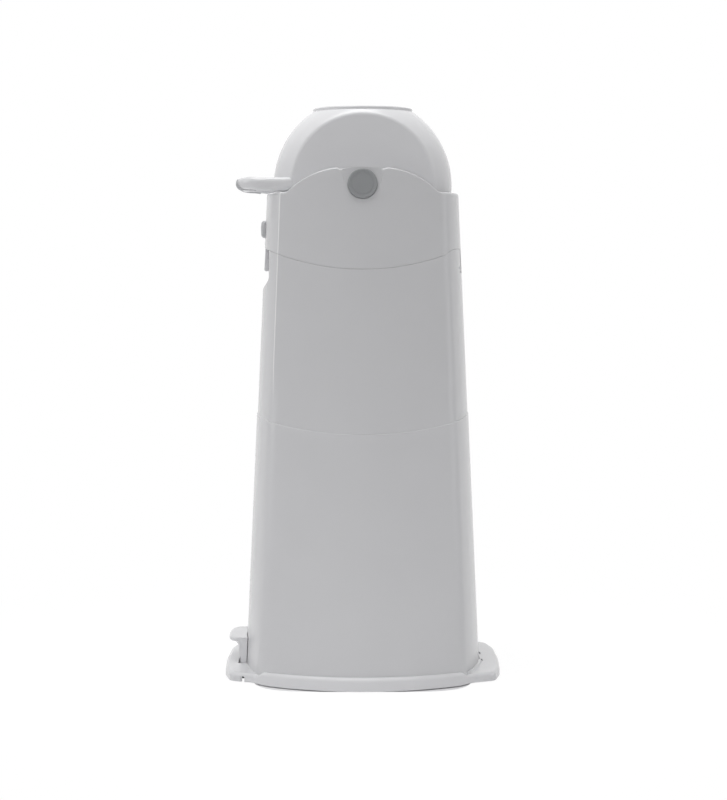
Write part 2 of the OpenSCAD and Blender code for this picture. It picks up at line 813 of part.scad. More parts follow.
tube_r = bore_r + tube_wall;
hub_x = tube_r + 1.2;
leg_mid_x = drum_half - leg_width / 2;
tie_y = drum_r * 0.75;
module drum_half_shell() {
    difference() {
        intersection() {
            drum_solid(0);
            box([0, -across_all, 0], [across_all, across_all, 2 * axis_z]);
        }
        difference() {
            drum_solid(drum_wall);
            bar(axle_r + boss_wall, hub_x, drum_half, 0, axis_z);
            translate([leg_mid_x, -tie_y, axis_z]) rotate([90, 0, 0]) cylinder(r = 4.2, h = 40);
        }
        translate([0, 0, axis_z - drum_r]) cylinder(r = tube_r, h = 2 * drum_r);
        bar(axle_r, hub_x - past, drum_half + past, 0, axis_z);
        translate([leg_mid_x, -tie_y + past, axis_z]) rotate([90, 0, 0]) cylinder(r = screw_r, h = 40);
    }
}
module drum_shell_right() color(white) drum_half_shell();
module drum_shell_left() color(white) mirror([1, 0, 0]) drum_half_shell();
module bore_tube() color(pale) {
    translate([0, 0, axis_z - mouth_flat]) difference() {
        cylinder(r = tube_r, h = 2 * mouth_flat);
        translate([0, 0, -past]) cylinder(r = bore_r, h = 2 * mouth_flat + 2 * past);
    }
}
module rim_ring() {
    inner = bore_r - ring_lip;
    w = rim_r - inner;
    translate([0, 0, mouth_flat]) rotate_extrude() translate([inner, 0]) {
        square([w, ring_height - ring_round]);
        translate([ring_round, 0]) square([w - 2 * ring_round, ring_height]);
        for (x = [ring_round, w - ring_round])
            translate([x, ring_height - ring_round]) circle(ring_round);
    }
}
module rim_ring_top() color(pale) translate([0, 0, axis_z]) rim_ring();
module rim_ring_bottom() color(pale) translate([0, 0, axis_z]) mirror([0, 0, 1]) rim_ring();

// Axle caps: a stub axle with a ringed face
module axle_cap() {
    edge = 1.2;
    translate([0, 0, axis_z]) rotate([0, 90, 0]) rotate_extrude() difference() {
        union() {
            translate([0, hub_x]) square([axle_r, cap_back_x - hub_x + past]);
            translate([0, cap_back_x]) square([cap_r, cap_t - edge]);
            translate([0, cap_back_x]) square([cap_r - edge, cap_t]);
            translate([cap_r - edge, cap_back_x + cap_t - edge]) circle(edge);
        }
        translate([-past, cap_back_x + cap_t - 0.5]) square([cap_r - 3.4 + past, past + 0.5]);
        translate([cap_r - 5.4, cap_back_x + cap_t - 1]) square([0.9, 2]);
    }
}
module axle_cap_right() color(grey) axle_cap();
module axle_cap_left() color(grey) mirror([1, 0, 0]) axle_cap();

// Handle: a bow swept from one leg round the bar to the other leg
leg_steps = 3;
bend_steps = 8;
bar_steps = 4;
ring_points = 20;
bow_corner = handle_corner - leg_width / 2;
bow_bar_y = handle_reach - bar_width / 2;
bow_centre = [leg_mid_x - bow_corner, bow_bar_y - bow_corner];
leg_root_y = drum_r * 0.72;
// Stations of half the bow: place along X, distance forward, and the direction that faces outward
function bow_half() = concat(
    [for (i = [0 : leg_steps - 1]) [leg_mid_x, lerp(leg_root_y, bow_centre[1], i / leg_steps), 0]],
    [for (i = [0 : bend_steps]) let (a = 90 * i / bend_steps)
        [bow_centre[0] + bow_corner * cos(a), bow_centre[1] + bow_corner * sin(a), a]],
    [for (i = [1 : bar_steps]) [lerp(bow_centre[0], 0, i / bar_steps), bow_bar_y, 90]]
);
function bow() = let (h = bow_half(), n = len(h)) concat(
    h,
    [for (i = [n - 2 : -1 : 0]) [-h[i][0], h[i][1], 180 - h[i][2]]]
);
// Half width and half height of the bow's section at a station
function bow_size(s) = let (
    t = min(max((s[1] - leg_root_y) / (bow_bar_y - leg_root_y), 0), 1),
    turn = sin(min(s[2], 180 - s[2]))
) [lerp(leg_width, bar_width, turn) / 2, lerp(leg_half_height, bar_half_height, t)];
function squared(v) = sign(v) * pow(abs(v), 0.76);
// A point of the section, at an angle from the outward direction, grown by some thickness
function bow_point(s, a, grow) = let (
    size = bow_size(s) + [grow, grow],
    out = size[0] * squared(cos(a)),
    up = size[1] * squared(sin(a))
) [s[0] + out * cos(s[2]), -(s[1] + out * sin(s[2])), axis_z + up];
// A closed skin over rings of equally many points
module skin(rings) {
    n = len(rings[0]);
    m = len(rings);
    polyhedron(
        points = [for (ring = rings) for (p = ring) p],
        faces = concat(
            [[for (i = [n - 1 : -1 : 0]) i]],
            [[for (i = [0 : n - 1]) (m - 1) * n + i]],
            [for (j = [0 : m - 2]) for (i = [0 : n - 1])
                [j * n + i, j * n + (i + 1) % n, (j + 1) * n + i]],
            [for (j = [0 : m - 2]) for (i = [0 : n - 1])
                [j * n + (i + 1) % n, (j + 1) * n + (i + 1) % n, (j + 1) * n + i]]
        )
    );
}
function bow_ring(s, grow) = [for (i = [0 : ring_points - 1]) bow_point(s, 360 * i / ring_points, grow)];
module handle() color(white) {
    difference() {
        skin([for (s = bow()) bow_ring(s, 0)]);
        translate([0, 0, axis_z]) sphere(drum_r);
        both_sides() translate([leg_mid_x, -tie_y + past, axis_z]) rotate([90, 0, 0])
            cylinder(r = screw_r, h = tie_length);
    }
}
tie_length = drum_r - tie_y + 2;
// Angles between which the grip strip reaches round the section, from the outward direction
grip_arc = [-105, 8];
grip_points = 8;
module handle_grip() color(dark) {
    stations = [for (s = bow()) if (s[1] > handle_reach - grip_reach - 3) s];
    skin([for (s = stations) concat(
        [for (i = [0 : grip_points]) bow_point(s, lerp(grip_arc[0], grip_arc[1], i / grip_points), grip_t)],
        [for (i = [grip_points : -1 : 0]) bow_point(s, lerp(grip_arc[0], grip_arc[1], i / grip_points), 0)]
    )]);
}
module handle_screws() color(steel) {
    both_sides() translate([leg_mid_x, -tie_y, axis_z]) rotate([90, 0, 0]) {
        cylinder(r = screw_r, h = tie_length - past);
        translate([0, 0, -2]) cylinder(r = screw_head_r, h = 2);
    }
}

// Piston: a closed puck in two pieces with a wiping ring
piston_r = bore_r - piston_gap;
piston_low = axis_z - mouth_flat + 0.3;
piston_top = piston_low + piston_h;
groove_h = 6;
groove_z = piston_low + piston_h / 2;
cover_t = piston_wall;
module piston_body() color(pale) {
    difference() {
        translate([0, 0, piston_low]) cylinder(r = piston_r, h = piston_h - cover_t);
        translate([0, 0, piston_low + piston_wall])
            cylinder(r = piston_r - 2 * piston_wall, h = piston_h);
        translate([0, 0, groove_z - groove_h / 2]) difference() {
            cylinder(r = piston_r + past, h = groove_h);
            translate([0, 0, -past]) cylinder(r = piston_r - piston_wall, h = groove_h + 2 * past);
        }
    }
}
module piston_cover() color(pale) {
    translate([0, 0, piston_top - cover_t]) cylinder(r = piston_r, h = cover_t);
    translate([0, 0, piston_top - cover_t - 4]) difference() {
        cylinder(r = piston_r - 2 * piston_wall - 0.2, h = 4 + past);
        translate([0, 0, -past]) cylinder(r = piston_r - 2 * piston_wall - 2.2, h = 5);
    }
}
module piston_seal() color(dark) {
    translate([0, 0, groove_z - groove_h / 2]) difference() {
        cylinder(r = bore_r - seal_gap, h = groove_h);
        translate([0, 0, -past]) cylinder(r = piston_r - piston_wall, h = groove_h + 2 * past);
    }
}

// Base plate with its ears and side lobes
foot_places = [[63, ear_reach - 27], [128, 0]];
boss_foot_r = foot_r + 2.5;
foot_seat = 3;
pocket_top = base_top - base_skin;
slot_front = pedal_y + 11.2;
slot_back = pedal_y - 4.4;
slot_half = stem_w / 2 + 0.8;
rib_t = 2.4;
// Distance of each rib from the middle
rib_place = 52;
// Half depth of the part of the ears' outline that lies under the body
ear_root_y = 122;
module ears_outline(inset) {
    r = ear_corner - inset;
    hull() {
        for (s = [-1, 1], e = [-1, 1])
            translate([s * (ear_half - ear_corner), e * (ear_reach - ear_corner)]) circle(r, $fn = 64);
        square([2 * (ear_root - inset), 2 * ear_root_y], center = true);
    }
}
module lobes_outline(inset) {
    polygon(plan([lobe_half - inset, lobe_depth - inset], soft_corner, soft_corner));
}
module base_plate() color(white) {
    difference() {
        union() {
            translate([0, 0, foot_drop]) linear_extrude(base_top - foot_drop) {
                ears_outline(0);
                lobes_outline(0);
            }
            difference() {
                linear_extrude(lip_top) lobes_outline(0);
                translate([0, 0, -past]) linear_extrude(foot_drop + 2 * past) lobes_outline(-past);
                lower_solid(-past, lip_top + past, -foot_gap);
            }
        }
        // Hollow underside, with ribs, foot bosses and the pedal's well left standing
        difference() {
            linear_extrude(pocket_top) {
                ears_outline(base_skin);
                lobes_outline(base_skin);
            }
            for (e = [-1, 1]) translate([-across_all, e * rib_place - rib_t / 2, 0])
                cube([2 * across_all, rib_t, base_top]);
            for (s = [-1, 1]) translate([s * rib_place - rib_t / 2, -across_all, 0])
                cube([rib_t, 2 * across_all, base_top]);
            both_sides() both_ends() for (p = foot_places) translate([p[0], p[1], 0])
                cylinder(r = boss_foot_r, h = base_top);
            box([-across_all, -pedal_y - 3.9, 0], [across_all, -pedal_y + 3.9, base_top]);
        }
        // Slot that the pedal's stem passes through
        box([-slot_half, -slot_front, -past], [slot_half, -slot_back, base_top + past]);
        // Slot for the tab of the lower body
        box([-foot_slot_half, lower_half(base_top)[1] - wall - 0.6, -past],
            [foot_slot_half, lower_half(base_top)[1] + 0.6, base_top + past]);
        bar(pedal_pin_r, -across_all, across_all, -pedal_y, pedal_z);
        both_sides() both_ends() for (p = foot_places) translate([p[0], p[1], 0])
            cylinder(r = foot_r, h = foot_seat + foot_drop);
    }
}
module rubber_feet() color(dark) {
    both_ends() for (s = [-1, 1]) translate([s * foot_places[0][0], foot_places[0][1], 0])
        cylinder(r = foot_r, h = foot_seat + foot_drop);
    for (s = [-1, 1]) translate([s * foot_places[1][0], foot_places[1][1], 0])
        cylinder(r = foot_r, h = foot_seat + foot_drop);
}

// Pedal: a lever whose hook holds the body down on the base plate
stem_back = lower_half(base_top)[1] + stem_gap;
stem_front = stem_back + stem_t;
tread_reach = stem_front + tread_out;
module pedal() color(white) {
    half = stem_w / 2;
    difference() {
        union() {
            bar(pedal_knuckle_r, -half, half, -pedal_y, pedal_z);
            across(stem_w) polygon([
                [-pedal_y, pedal_z - pedal_knuckle_r], [-pedal_y, pedal_z + 3],
                [-stem_back, pedal_z + 3], [-stem_back, tread_top - 6],
                [-stem_front, tread_top - 6], [-stem_front, pedal_z - 1.5]
            ]);
            // Tread, swept down into the stem
            across(tread_w) polygon([
                [-stem_back, tread_top],
                [-tread_reach, tread_top],
                [-tread_reach, tread_top - tread_lip],
                [-stem_front - 0.65 * tread_out, tread_top - lerp(tread_lip, tread_root, 0.18)],
                [-stem_front - 0.21 * tread_out, tread_top - lerp(tread_lip, tread_root, 0.5)],
                [-stem_front, tread_top - tread_root],
                [-stem_back, tread_top - tread_root - 2]
            ]);
            // Hook that reaches through the window of the lower body
            box([-hook_half, -stem_back - past, hook_z0], [hook_half, -stem_back + 5.4, hook_z1]);
        }
        bar(pedal_pin_r + pin_play, -half - past, half + past, -pedal_y, pedal_z);
        bar(pedal_knuckle_r + 1, -pedal_spring_half - side_gap, pedal_spring_half + side_gap,
            -pedal_y, pedal_z);
    }
}
pedal_spring_half = 8;
module pedal_pin() color(steel) {
    reach = slot_half + pin_hold;
    bar(pedal_pin_r, -reach, reach, -pedal_y, pedal_z);
}
module pedal_spring() color(steel) {
    difference() {
        bar(pedal_knuckle_r, -pedal_spring_half, pedal_spring_half, -pedal_y, pedal_z);
        bar(pedal_pin_r + pin_play, -pedal_spring_half - past, pedal_spring_half + past,
            -pedal_y, pedal_z);
    }
}

base_plate();
rubber_feet();
pedal_pin();
pedal_spring();
pedal();
lower_body();
middle_body();
bag_ring();
hinge_pin();
hood_shell();
hood_liner();
drum_seal();
axle_bushes();
liner_screws();
latch_pin();
latch_spring();
latch_rocker();
release_button();
drum_shell_left();
drum_shell_right();
bore_tube();
rim_ring_top();
rim_ring_bottom();
axle_cap_left();
axle_cap_right();
handle();
handle_grip();
handle_screws();
piston_body();
piston_cover();
piston_seal();
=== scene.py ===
# %% [markdown]
# # A nappy bin with a turning drum
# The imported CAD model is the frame: it knows where every piece sits and what moves. This script
# dresses it. The big mouldings are remade here as dense, smooth skins from the same sizes as the CAD,
# because a flat-sided shell shows its facets under gloss. Hidden pieces keep their CAD shape. The
# bin's front faces -Y, and the photograph looks at its right side, which faces +X.

# %% Load the frame
import json
import math

import bmesh
import bpy
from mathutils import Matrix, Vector

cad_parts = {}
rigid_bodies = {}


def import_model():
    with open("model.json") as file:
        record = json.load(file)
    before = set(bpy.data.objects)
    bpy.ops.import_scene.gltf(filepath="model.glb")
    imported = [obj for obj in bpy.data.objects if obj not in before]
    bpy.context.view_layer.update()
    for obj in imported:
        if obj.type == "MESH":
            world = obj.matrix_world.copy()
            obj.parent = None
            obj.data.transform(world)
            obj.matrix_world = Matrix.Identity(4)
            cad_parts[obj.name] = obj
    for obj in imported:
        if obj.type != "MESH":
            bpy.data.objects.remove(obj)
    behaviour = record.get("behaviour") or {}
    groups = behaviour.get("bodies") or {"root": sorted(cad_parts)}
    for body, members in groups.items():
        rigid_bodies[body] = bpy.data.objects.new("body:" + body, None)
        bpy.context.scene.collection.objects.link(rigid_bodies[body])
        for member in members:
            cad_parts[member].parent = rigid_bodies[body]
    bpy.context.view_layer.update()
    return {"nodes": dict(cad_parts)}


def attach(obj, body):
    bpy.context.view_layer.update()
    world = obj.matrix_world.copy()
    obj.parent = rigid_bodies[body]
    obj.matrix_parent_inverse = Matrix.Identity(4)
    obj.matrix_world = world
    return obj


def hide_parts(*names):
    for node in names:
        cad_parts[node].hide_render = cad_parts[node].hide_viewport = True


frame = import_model()
MM = 0.001
print("nodes:", len(frame["nodes"]))

# %% [markdown]
# ## Colours
# Colours are written as sRGB hex, the way a paint or moulding chart gives them. A renderer adds light
# in linear values, so one function turns each channel from sRGB to linear.

# %% Colours and the one helper that adds a shader node


def linear(hex_colour):
    """sRGB hex such as #ECECEE as a linear RGBA tuple."""
    channels = [int(hex_colour[i:i + 2], 16) / 255 for i in (1, 3, 5)]
    return tuple(c / 12.92 if c <= 0.04045 else ((c + 0.055) / 1.055) ** 2.4 for c in channels) + (1.0,)


def add_node(material, kind, settings=None, **inputs):
    """Adds a shader node. A value that is a socket is linked; any other is set on the input."""
    tree = material.node_tree
    node = tree.nodes.new(kind)
    for name, value in (settings or {}).items():
        setattr(node, name, value)
    for name, value in inputs.items():
        socket = node.inputs[int(name[1:])] if name[0] == "i" and name[1:].isdigit() \
            else node.inputs[name.replace("_", " ")]
        if isinstance(value, bpy.types.NodeSocket):
            tree.links.new(value, socket)
        else:
            socket.default_value = value
    return node


def new_material(name):
    material = bpy.data.materials.new(name)
    material.use_nodes = True
    material.node_tree.nodes.clear()
    return material


def finish_material(material, shader):
    output = add_node(material, "ShaderNodeOutputMaterial")
    material.node_tree.links.new(shader.outputs[0], output.inputs["Surface"])
    return material


print("the shells' white in linear light:", [round(c, 3) for c in linear("#DFDFE1")[:3]])

# %% [markdown]
# ## Moulded plastics
# The shells are injection-moulded ABS from a polished tool. It gives the eye a clear but slightly soft
# reflection, since the surface has a faint long ripple left by the cooling plastic, and the tool's
# fine grain varies the gloss a little. Both come from noise whose scale is worked out from its real
# size. The drum, the handle, the pedal and the base are the same plastic as the body's shells, painted
# a little lighter than them: a painted lift that stands in for light.
# The grey pieces come from tools with a matt face, so their reflection is broad and weak. A picture
# of a surface could give the same marks, but noise keeps its real size on every piece.

# %% Moulded plastics


def waves_per_metre(size_mm):
    """Noise scale at which one feature is about this many millimetres across."""
    return 1.0 / (size_mm * MM)


def moulded_plastic(name, hex_colour, hex_shade, roughness, rough_spread, ripple_mm, ripple_height_mm,
                    grain_mm, grain_height_mm, edge_mm, painted_highlight_line=None):
    """An injection moulding: ripple from cooling, a tool's fine grain, softened edges and, if asked, a
    painted highlight line.
    """
    m = new_material(name)
    place = add_node(m, "ShaderNodeTexCoord").outputs["Object"]
    ripple = add_node(m, "ShaderNodeTexNoise", Vector=place, Scale=waves_per_metre(ripple_mm),
                      Detail=1.5, Roughness=0.4)
    grain = add_node(m, "ShaderNodeTexNoise", Vector=place, Scale=waves_per_metre(grain_mm),
                     Detail=2.0, Roughness=0.55)
    tone = add_node(m, "ShaderNodeMix", {"data_type": "RGBA"}, Factor=ripple.outputs["Fac"],
                    i6=linear(hex_colour), i7=linear(hex_shade))
    if painted_highlight_line:
        # A painted highlight: a white line that the caller places
        tone = add_node(m, "ShaderNodeMix", {"data_type": "RGBA"}, Factor=painted_highlight_line(m, place),
                        i6=tone.outputs[2], i7=linear("#FFFFFF"))
    rough = add_node(m, "ShaderNodeMapRange", Value=grain.outputs["Fac"], From_Min=0.3, From_Max=0.7,
                     To_Min=roughness - rough_spread, To_Max=roughness + rough_spread)
    edge = add_node(m, "ShaderNodeBevel", {"samples": 4}, Radius=edge_mm * MM)
    soft = add_node(m, "ShaderNodeBump", Height=ripple.outputs["Fac"], Strength=1.0,
                    Distance=ripple_height_mm * MM, Normal=edge.outputs["Normal"])
    fine = add_node(m, "ShaderNodeBump", Height=grain.outputs["Fac"], Strength=1.0,
                    Distance=grain_height_mm * MM, Normal=soft.outputs["Normal"])
    shader = add_node(m, "ShaderNodeBsdfPrincipled", Base_Color=tone.outputs[2],
                      Roughness=rough.outputs["Result"], IOR=1.5, Normal=fine.outputs["Normal"])
    return finish_material(m, shader)


# What the polished tool leaves on every gloss moulding
POLISHED = dict(roughness=0.22, rough_spread=0.03, ripple_mm=60, ripple_height_mm=0.05, grain_mm=1.2,
                grain_height_mm=0.002, edge_mm=0.6)
SHELL_WHITE, SHELL_SHADE = "#DFDFE1", "#DCDCDE"
gloss_white = moulded_plastic("gloss_white_abs", SHELL_WHITE, SHELL_SHADE, **POLISHED)
# A lighter copy of the shells' white: a painted lift that stands in for light on the drum, handle, pedal and
# base
white_painted_lighter = moulded_plastic("gloss_white_abs_painted_lighter", "#ECECEE", "#E9E9EB", **POLISHED)
satin_pale = moulded_plastic(
    "satin_pale_polypropylene", "#D2D3D6", "#CBCCCF", roughness=0.42, rough_spread=0.06,
    ripple_mm=40, ripple_height_mm=0.05, grain_mm=0.9, grain_height_mm=0.006, edge_mm=0.5)
satin_grey = moulded_plastic(
    "satin_grey_abs", "#A1A3A5", "#9A9C9E", roughness=0.36, rough_spread=0.05,
    ripple_mm=25, ripple_height_mm=0.03, grain_mm=0.7, grain_height_mm=0.005, edge_mm=0.4)
tongue_grey = moulded_plastic(
    "satin_light_grey_abs", "#ECECEE", "#E6E6E8", roughness=0.34, rough_spread=0.05,
    ripple_mm=25, ripple_height_mm=0.03, grain_mm=0.7, grain_height_mm=0.004, edge_mm=0.4)
button_grey = moulded_plastic(
    "satin_mid_grey_abs", "#D0D1D3", "#C9CACC", roughness=0.34, rough_spread=0.05,
    ripple_mm=25, ripple_height_mm=0.03, grain_mm=0.7, grain_height_mm=0.004, edge_mm=0.8)
dark_acetal = moulded_plastic(
    "dark_acetal", "#3B3D40", "#36383B", roughness=0.38, rough_spread=0.05,
    ripple_mm=20, ripple_height_mm=0.02, grain_mm=0.7, grain_height_mm=0.004, edge_mm=0.3)
plastics = (gloss_white, white_painted_lighter, satin_pale, satin_grey, tongue_grey, button_grey, dark_acetal)
print("plastics:", ", ".join(m.name for m in plastics))

# %% [markdown]
# ## Soft rubber and steel
# The grip, feet and seals are a soft thermoplastic rubber with a spark-eroded grain, so they have
# almost no clear reflection. The pins are drawn steel: the drawing die leaves streaks along the pin,
# and they stretch its reflections across it. A cell pattern gives the rubber's pits, and noise
# stretched along the pin gives the streaks.

# %% Rubber and steel


def spark_grain_rubber(name, hex_colour, hex_worn, grain_mm):
    """Soft rubber with a spark-eroded grain, a little lighter where the grain stands up."""
    m = new_material(name)
    place = add_node(m, "ShaderNodeTexCoord").outputs["Object"]
    grain = add_node(m, "ShaderNodeTexVoronoi", {"feature": "SMOOTH_F1"}, Vector=place,
                     Scale=waves_per_metre(grain_mm), Smoothness=0.6)
    tone = add_node(m, "ShaderNodeMix", {"data_type": "RGBA"}, Factor=grain.outputs["Distance"],
                    i6=linear(hex_worn), i7=linear(hex_colour))
    bump = add_node(m, "ShaderNodeBump", Height=grain.outputs["Distance"], Strength=0.6,
                    Distance=0.04 * MM)
    shader = add_node(m, "ShaderNodeBsdfPrincipled", Base_Color=tone.outputs[2], Roughness=0.72,
                      IOR=1.45, Normal=bump.outputs["Normal"])
    return finish_material(m, shader)


def drawn_steel(name, hex_colour, streak_mm):
    """Steel rod with fine streaks along X, the way that it was drawn."""
    m = new_material(name)
    place = add_node(m, "ShaderNodeTexCoord").outputs["Object"]
    # The streaks are stretched fifty times along the pin
    stretched = add_node(m, "ShaderNodeMapping", Vector=place, Scale=(0.02, 1.0, 1.0))
    streaks = add_node(m, "ShaderNodeTexNoise", Vector=stretched.outputs["Vector"],
                       Scale=waves_per_metre(streak_mm), Detail=3.0)
    rough = add_node(m, "ShaderNodeMapRange", Value=streaks.outputs["Fac"], To_Min=0.22, To_Max=0.4)
    bump = add_node(m, "ShaderNodeBump", Height=streaks.outputs["Fac"], Strength=0.4,
                    Distance=0.01 * MM)
    shader = add_node(m, "ShaderNodeBsdfPrincipled", Base_Color=linear(hex_colour), Metallic=1.0,
                      Roughness=rough.outputs["Result"], Normal=bump.outputs["Normal"])
    return finish_material(m, shader)


soft_rubber = spark_grain_rubber("dark_soft_rubber", "#3E4043", "#4B4D50", grain_mm=0.8)
grip_rubber = spark_grain_rubber("grey_soft_rubber", "#C2C3C5", "#CACBCD", grain_mm=0.7)
pin_steel = drawn_steel("drawn_steel", "#BFC1C4", streak_mm=0.5)
print("rubbers and steel:", ", ".join(m.name for m in (soft_rubber, grip_rubber, pin_steel)))

# %% [markdown]
# ## The body's plan and taper
# Every section through the body is the same rounded-square plan: a broad arc on each side, a rounder
# arc at the front and back, and a small arc at each corner that touches both. A bevelled cube would
# come close, but its corners don't touch the arcs smoothly, so the plan is worked out from its radii.
# The section is scaled evenly along each body, so the walls are straight when seen from the side.

# %% Driving sizes of the body, in millimetres
# Half widths and half depths. The depths are measured again in the photograph, so they are up to
# 1.5 mm smaller than the CAD's
FOOT = (148.0, 146.7)
WAIST = (121.5, 131.6)
SHOULDER = (98.8, 119.7)
WAIST_Z = 321.0
SHOULDER_Z = 595.0
WAIST_STEP = 0.9
SIDE_R = 240.0
FACE_R = 163.0
CRISP_R = 3.0
SOFT_R = 22.0
WALL = 3.0
BASE_TOP = 10.5
WAIST_DIP = 17.3
HOOD_SEAM_Z = 527.2
HOOD_SEAM_DIP = 26.0
# The CAD's gap is 0.6 mm. The mouldings meet more closely to the eye, so the skins stand 0.2 mm apart
HOOD_GAP = 0.2
HOOD_EDGE_R = 0.35
# The front corners are crisp above the first height and fully soft below the second
CRISP_ABOVE = 390.0
SOFT_BELOW = 335.0

# Points on a side's arc, a corner's and a face's, in each quarter of the plan
SIDE_STEPS, CORNER_STEPS, FACE_STEPS = 26, 10, 26


def lerp(a, b, t):
    """The value that lies a share t of the way from a to b."""
    return a + (b - a) * t


def smooth(t):
    """0 to 1 with a level start and end."""
    t = min(max(t, 0.0), 1.0)
    return t * t * (3 - 2 * t)


def lower_half(z):
    """Half width and half depth of the lower body at a height."""
    t = z / WAIST_Z
    return tuple(lerp(FOOT[i], WAIST[i] + WAIST_STEP, t) for i in (0, 1))


def upper_half(z):
    """Half width and half depth of the middle body and the hood at a height."""
    t = (z - WAIST_Z) / (SHOULDER_Z - WAIST_Z)
    return tuple(lerp(WAIST[i], SHOULDER[i], t) for i in (0, 1))


def quarter(corner_r):
    """A quarter of the plan at the shoulders, from the middle of a side to the middle of a face."""
    side_c, face_c = SHOULDER[0] - SIDE_R, SHOULDER[1] - FACE_R
    # The corner's centre lies where circles about the side's and the face's centres cross
    r1, r2 = SIDE_R - corner_r, FACE_R - corner_r
    d = math.hypot(side_c, face_c)
    along = (r1 * r1 - r2 * r2 + d * d) / (2 * d)
    off = math.sqrt(r1 * r1 - along * along)
    ux, uy = -side_c / d, face_c / d
    cx, cy = side_c + along * ux - off * uy, along * uy + off * ux
    a1 = math.atan2(cy, cx - side_c)
    a2 = math.atan2(cy - face_c, cx)
    points = [(side_c + SIDE_R * math.cos(a1 * i / SIDE_STEPS), SIDE_R * math.sin(a1 * i / SIDE_STEPS))
              for i in range(SIDE_STEPS)]
    for i in range(CORNER_STEPS + 1):
        a = lerp(a1, a2, i / CORNER_STEPS)
        points.append((cx + corner_r * math.cos(a), cy + corner_r * math.sin(a)))
    for i in range(1, FACE_STEPS + 1):
        a = lerp(a2, math.pi / 2, i / FACE_STEPS)
        points.append((FACE_R * math.cos(a), face_c + FACE_R * math.sin(a)))
    return points


def whole_plan(front_r, back_r):
    """The plan's points all round, from the middle of the +X side past the back."""
    back, front = quarter(back_r), quarter(front_r)
    return (back + [(-x, y) for x, y in back[-2::-1]]
            + [(-x, -y) for x, y in front[1:]] + [(x, -y) for x, y in front[-2:0:-1]])


SOFT_PLAN = whole_plan(SOFT_R, SOFT_R)
CRISP_PLAN = whole_plan(CRISP_R, SOFT_R)
COLUMNS = len(SOFT_PLAN)
QUARTER = COLUMNS // 4


def lower_point(k, z, inset=0.0):
    """The point of column k of the lower body at a height, inset into the wall."""
    hx, hy = lower_half(z)
    u, v = SOFT_PLAN[k]
    return (u * (hx - inset) / SHOULDER[0], v * (hy - inset) / SHOULDER[1], z)


def upper_point(k, z, inset=0.0):
    """The point of column k of the middle body or the hood at a height, inset into the wall."""
    hx, hy = upper_half(z)
    crisp = smooth((z - SOFT_BELOW) / (CRISP_ABOVE - SOFT_BELOW))
    u = lerp(SOFT_PLAN[k][0], CRISP_PLAN[k][0], crisp)
    v = lerp(SOFT_PLAN[k][1], CRISP_PLAN[k][1], crisp)
    return (u * (hx - inset) / SHOULDER[0], v * (hy - inset) / SHOULDER[1], z)


def mirror_column(k):
    """The column on the other side of the bin, at the same distance from front to back."""
    return (COLUMNS // 2 - k) % COLUMNS


print("columns round the body:", COLUMNS)

# %% [markdown]
# ## The painted highlight on the front corners
# The hood and the middle body meet their fronts in a crisp corner, which shows as a thin pale line of
# light. A lamp could be set to catch it, but it would streak the other faces too. So the highlight is
# painted into the material's colour as a white line, where it follows the corner's place in the plan
# at every height.

# %% Painted highlight along the crisp corners
# Half the painted highlight's width as a share of the plan's half size, and how white it is painted
HIGHLIGHT_HALF = 0.0095
HIGHLIGHT_WHITENESS = 0.9


def painted_corner_highlight(m, place):
    """Mask of the painted highlight: 1 on the two crisp corners and 0 a millimetre away. It fades out where
    the corners turn soft.
    """
    corner = quarter(CRISP_R)[SIDE_STEPS + CORNER_STEPS // 2]
    offset = corner[0] / SHOULDER[0] - corner[1] / SHOULDER[1]
    at = add_node(m, "ShaderNodeSeparateXYZ", Vector=place)
    shares = []
    for axis, sign in ((0, 1.0), (1, -1.0)):
        half = add_node(m, "ShaderNodeMapRange", {"clamp": False}, Value=at.outputs["Z"],
                        From_Min=WAIST_Z * MM, From_Max=SHOULDER_Z * MM,
                        To_Min=WAIST[axis] * MM, To_Max=SHOULDER[axis] * MM)
        size = add_node(m, "ShaderNodeMath", {"operation": "ABSOLUTE" if axis == 0 else "MULTIPLY"},
                        i0=at.outputs[axis], i1=sign)
        shares.append(add_node(m, "ShaderNodeMath", {"operation": "DIVIDE"}, i0=size.outputs[0],
                               i1=half.outputs["Result"]).outputs[0])
    apart = add_node(m, "ShaderNodeMath", {"operation": "SUBTRACT"}, i0=shares[0], i1=shares[1])
    near = add_node(m, "ShaderNodeMath", {"operation": "COMPARE"}, i0=apart.outputs[0], i1=offset,
                    i2=HIGHLIGHT_HALF)
    fade = add_node(m, "ShaderNodeMapRange", Value=at.outputs["Z"], From_Min=SOFT_BELOW * MM,
                    From_Max=CRISP_ABOVE * MM, To_Min=0.0, To_Max=HIGHLIGHT_WHITENESS)
    return add_node(m, "ShaderNodeMath", {"operation": "MULTIPLY"}, i0=near.outputs[0],
                    i1=fade.outputs["Result"]).outputs[0]


# The shells' white with a white line painted along the crisp corners as a highlight
gloss_white_painted_highlight = moulded_plastic("gloss_white_abs_painted_corner_highlight", SHELL_WHITE, SHELL_SHADE,
                                painted_highlight_line=painted_corner_highlight, **POLISHED)
print("nodes in the material with the line:", len(gloss_white_painted_highlight.node_tree.nodes))

# %% [markdown]
# ## Seams
# Both seams are arcs seen from the side, lowest in the middle of each side. A column of the skin has
# to end on its seam, and its distance from front to back depends on its height, so the height is
# found by going round a few times until it settles.

# %% Seams and the hinge's arc
HINGE_Y, HINGE_Z = 117.5, 503.0
HINGE_ARC = 22.7
REAR_ZONE_Y = HINGE_Y - 16.3


def arc_radius(half, rise):
    """Radius of an arc from half its width and its rise."""
    return (half * half + rise * rise) / (2 * rise)


waist_r = arc_radius(WAIST[1], WAIST_DIP)
hood_r = arc_radius(upper_half(HOOD_SEAM_Z)[1], HOOD_SEAM_DIP)


